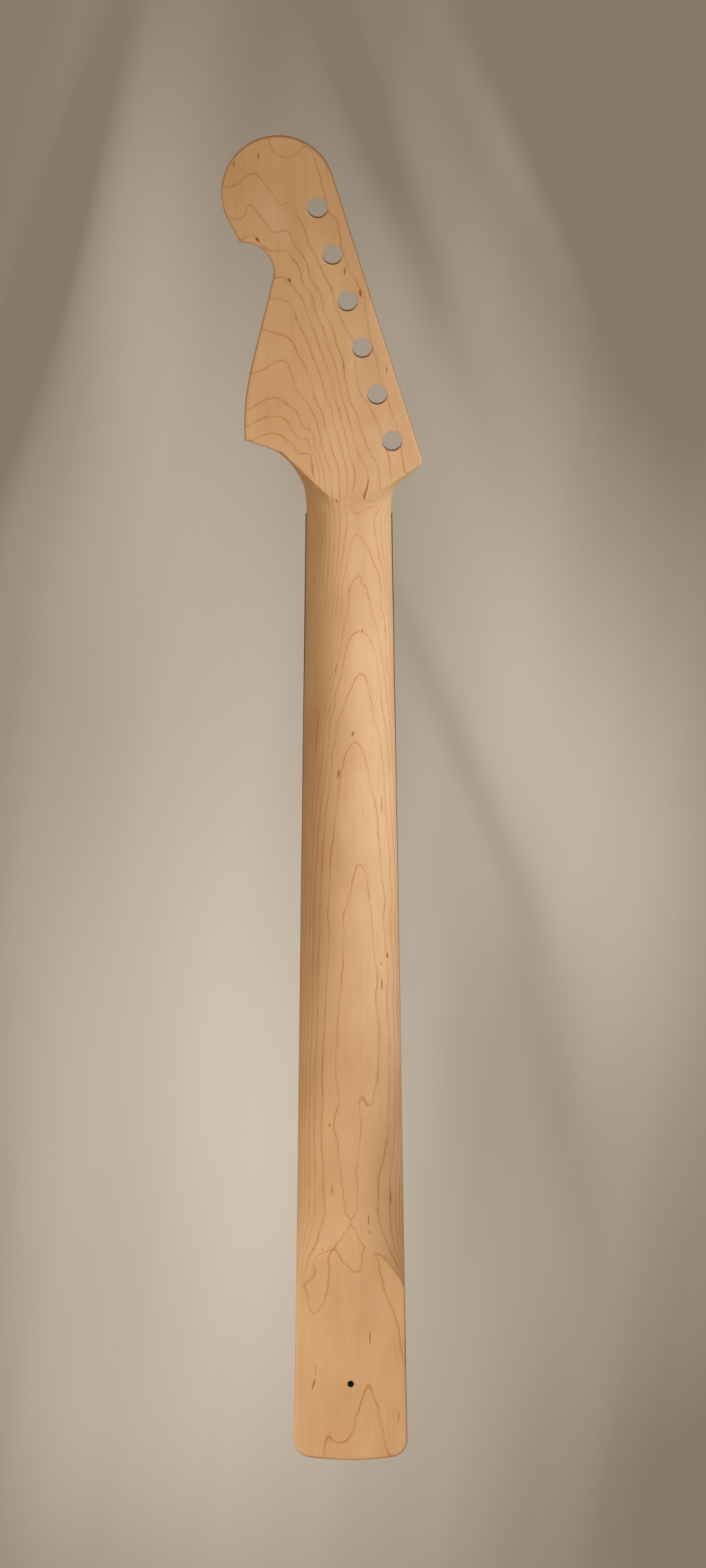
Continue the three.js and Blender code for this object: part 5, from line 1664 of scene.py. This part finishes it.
def pale_look(name):
    """Pale solid stuff with faint clouding and fine veins."""
    light, dark, rough = PALE_STUFFS[name]
    look = Look(name)
    base, (cloud, vein) = look.grained(light, ((*PALE_CLOUD, dark), (*PALE_VEIN, dark)))
    roughness = vein.spread(*ROUGHNESS_RANGE, rough, rough + PALE_ROUGHNESS_RISE)
    depths = [depth * MM for depth in PALE_GLOW_DEPTHS]
    plain = {"Subsurface Weight": PALE_GLOW_SHARE, "Subsurface Radius": depths}
    return look.completed(base, roughness, cloud, PALE_BUMP, PALE_BUMP_STRENGTH, plain)


def give(obj, material):
    obj.data.materials.clear()
    obj.data.materials.append(material)


def dressed(obj, material, stands_for, body="neck"):
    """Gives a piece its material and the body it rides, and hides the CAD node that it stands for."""
    give(obj, material)
    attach(obj, body)
    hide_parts(stands_for)


def build_object():
    neck = build_maple()
    mark_rings(neck)
    dressed(neck, maple_look(), "maple_neck")
    dressed(build_fingerboard(), plain_wood_look("oiled_rosewood"), "fingerboard")
    dressed(build_nut(), pale_look("bone_nut"), "string_nut")
    wire, clay = metal_look("nickel_silver_wire"), pale_look("clay_dot")
    for number in range(1, FRET_COUNT + 1):
        dressed(build_fret(number), wire, f"fret_{number:02d}")
    for label, x, z in dots(DOUBLE_FACE_DOT_OFFSET):
        dressed(build_face_dot(label, x, z), clay, f"face_dot_{label}")
    for label, offset, z in dots(DOUBLE_SIDE_DOT_OFFSET):
        dressed(build_side_dot(label, z + offset), clay, f"side_dot_{label}")
    dressed(build_adjuster(), metal_look("turned_brass"), "truss_rod_adjuster", "adjuster")
    steel = metal_look("plain_steel")
    for name in ("truss_rod", "truss_rod_anchor", "truss_rod_washer"):
        give(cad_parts[name], steel)
    give(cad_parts["truss_rod_filler_strip"], plain_wood_look("maple_strip"))


def add_lamp(name, kind, place, target, power, colour):
    lamp = bpy.data.lights.new(name, kind)
    lamp.energy = power
    lamp.color = colour
    made = bpy.data.objects.new(name, lamp)
    bpy.context.scene.collection.objects.link(made)
    made.location = Vector(place) * MM
    made.rotation_euler = (Vector(target) - Vector(place)).to_track_quat("-Z", "Y").to_euler()
    made.visible_camera = False
    return made


def build_lights():
    for name, (*basics, cone, radius) in SPOTS.items():
        lamp = add_lamp(name, "SPOT", *basics).data
        lamp.spot_size = math.radians(cone)
        lamp.spot_blend = 1
        lamp.shadow_soft_size = radius * MM
    for name, (*basics, width, in_gloss) in DISCS.items():
        made = add_lamp(name, "AREA", *basics)
        made.data.shape = "DISK"
        made.data.size = width * MM
        made.visible_glossy = in_gloss


def pools_of_light(across, up):
    lit = 0
    for centre_across, centre_up, half_width, half_height, lean, part in BACKDROP_POOLS:
        rise = up - centre_up
        aside = (across - centre_across - rise * lean) / half_width
        above = rise / half_height
        lit = ((aside * aside + above * above) * -1).maths("EXPONENT") * part + lit
    return lit


def build_world():
    """Warm light from all round, and a softly lit backdrop for the camera and for gloss."""
    world = bpy.data.worlds.new("studio")
    bpy.context.scene.world = world
    nodes = Nodes(world)
    right, forward, rise = nodes.split(nodes.add("ShaderNodeTexCoord").outputs["Generated"])
    depth = forward.most(LEAST_FORWARD_SHARE)
    across = right / depth * CAMERA_DISTANCE
    up = (rise / depth + math.tan(CAMERA_ELEVATION)) * CAMERA_DISTANCE
    place = {0: (across - up * FOLD_LEAN) / FOLD_WIDTH, 1: up / FOLD_LENGTH}
    # Painted fold shading on the backdrop
    fold_shading = nodes.noise_at(nodes.add("ShaderNodeCombineXYZ", place).outputs[0], *FOLD_DETAIL)
    aside = (forward.rest() * BACKDROP_SIDE_RATE).least(1)
    lit = pools_of_light(across, up) + (fold_shading - NOISE_MIDDLE) * FOLD_STRENGTH
    amount = lit * aside.rest() + aside * BACKDROP_SIDE_SHARE
    colour = nodes.mix(amount, BACKDROP_DARK, BACKDROP_LIGHT)
    seen = nodes.add("ShaderNodeBackground", {0: colour, 1: 1})
    light = nodes.add("ShaderNodeBackground", {0: ROOM_LIGHT, 1: ROOM_LIGHT_STRENGTH})
    path = nodes.add("ShaderNodeLightPath").outputs
    direct = Signal(nodes, path["Is Camera Ray"])
    for kind in ("Is Glossy Ray", "Is Transmission Ray"):
        direct = direct.most(path[kind])
    mixer = nodes.add("ShaderNodeMixShader", {0: direct, 1: light.outputs[0], 2: seen.outputs[0]})
    nodes.add("ShaderNodeOutputWorld", {0: mixer.outputs[0]})


def build_floor():
    """A pale floor below the heel end, seen from above only, that fades out to the backdrop."""
    level = heel_end_z - FLOOR_GAP
    rim = [(u * FLOOR_RADIUS, v * FLOOR_RADIUS, level) for u, v in round_steps(FLOOR_SEGMENTS)]
    floor = new_object("studio_floor", rim, [list(range(FLOOR_SEGMENTS))])
    look = Look("pale_floor")
    away = look.length(look.vector("MULTIPLY", look.place, (1, 1, 0)))
    below = look.add("ShaderNodeNewGeometry").outputs["Backfacing"]
    faded = away.spread(FLOOR_FADE_START * MM, FLOOR_RADIUS * MM)
    gone = faded.most(below).most(FLOOR_CLEAR_SHARE)
    mottle = look.noise(*FLOOR_MOTTLE).spread(*FLOOR_MOTTLE_RANGE)
    look.fill(look.shader.inputs["Base Color"], look.mix(mottle, FLOOR_PALE, FLOOR_WARM))
    look.fill(look.shader.inputs["Roughness"], FLOOR_ROUGHNESS)
    clear = look.add("ShaderNodeBsdfTransparent")
    mixer = look.add("ShaderNodeMixShader", {0: gone, 1: look.shader.outputs[0], 2: clear.outputs[0]})
    look.fill(look.output.inputs[0], mixer.outputs[0])
    floor.data.materials.append(look.material)


def build_camera():
    data = bpy.data.cameras.new("photo_view")
    data.sensor_fit = "VERTICAL"
    data.sensor_height = SENSOR
    data.lens = SENSOR * CAMERA_DISTANCE / FRAME_HEIGHT
    data.clip_end = CAMERA_REACH * MM
    camera = bpy.data.objects.new("photo_view", data)
    bpy.context.scene.collection.objects.link(camera)
    away = Vector((0, -math.cos(CAMERA_ELEVATION), math.sin(CAMERA_ELEVATION)))
    camera.location = (Vector(CAMERA_AIM) + away * CAMERA_DISTANCE) * MM
    look = (-away).to_track_quat("-Z", "Y").to_matrix()
    camera.rotation_euler = (look @ Matrix.Rotation(CAMERA_ROLL, 3, "Z")).to_euler()
    bpy.context.scene.camera = camera


build_object()
build_floor()
build_lights()
build_world()
build_camera()
bpy.context.scene.view_settings.view_transform = "Standard"
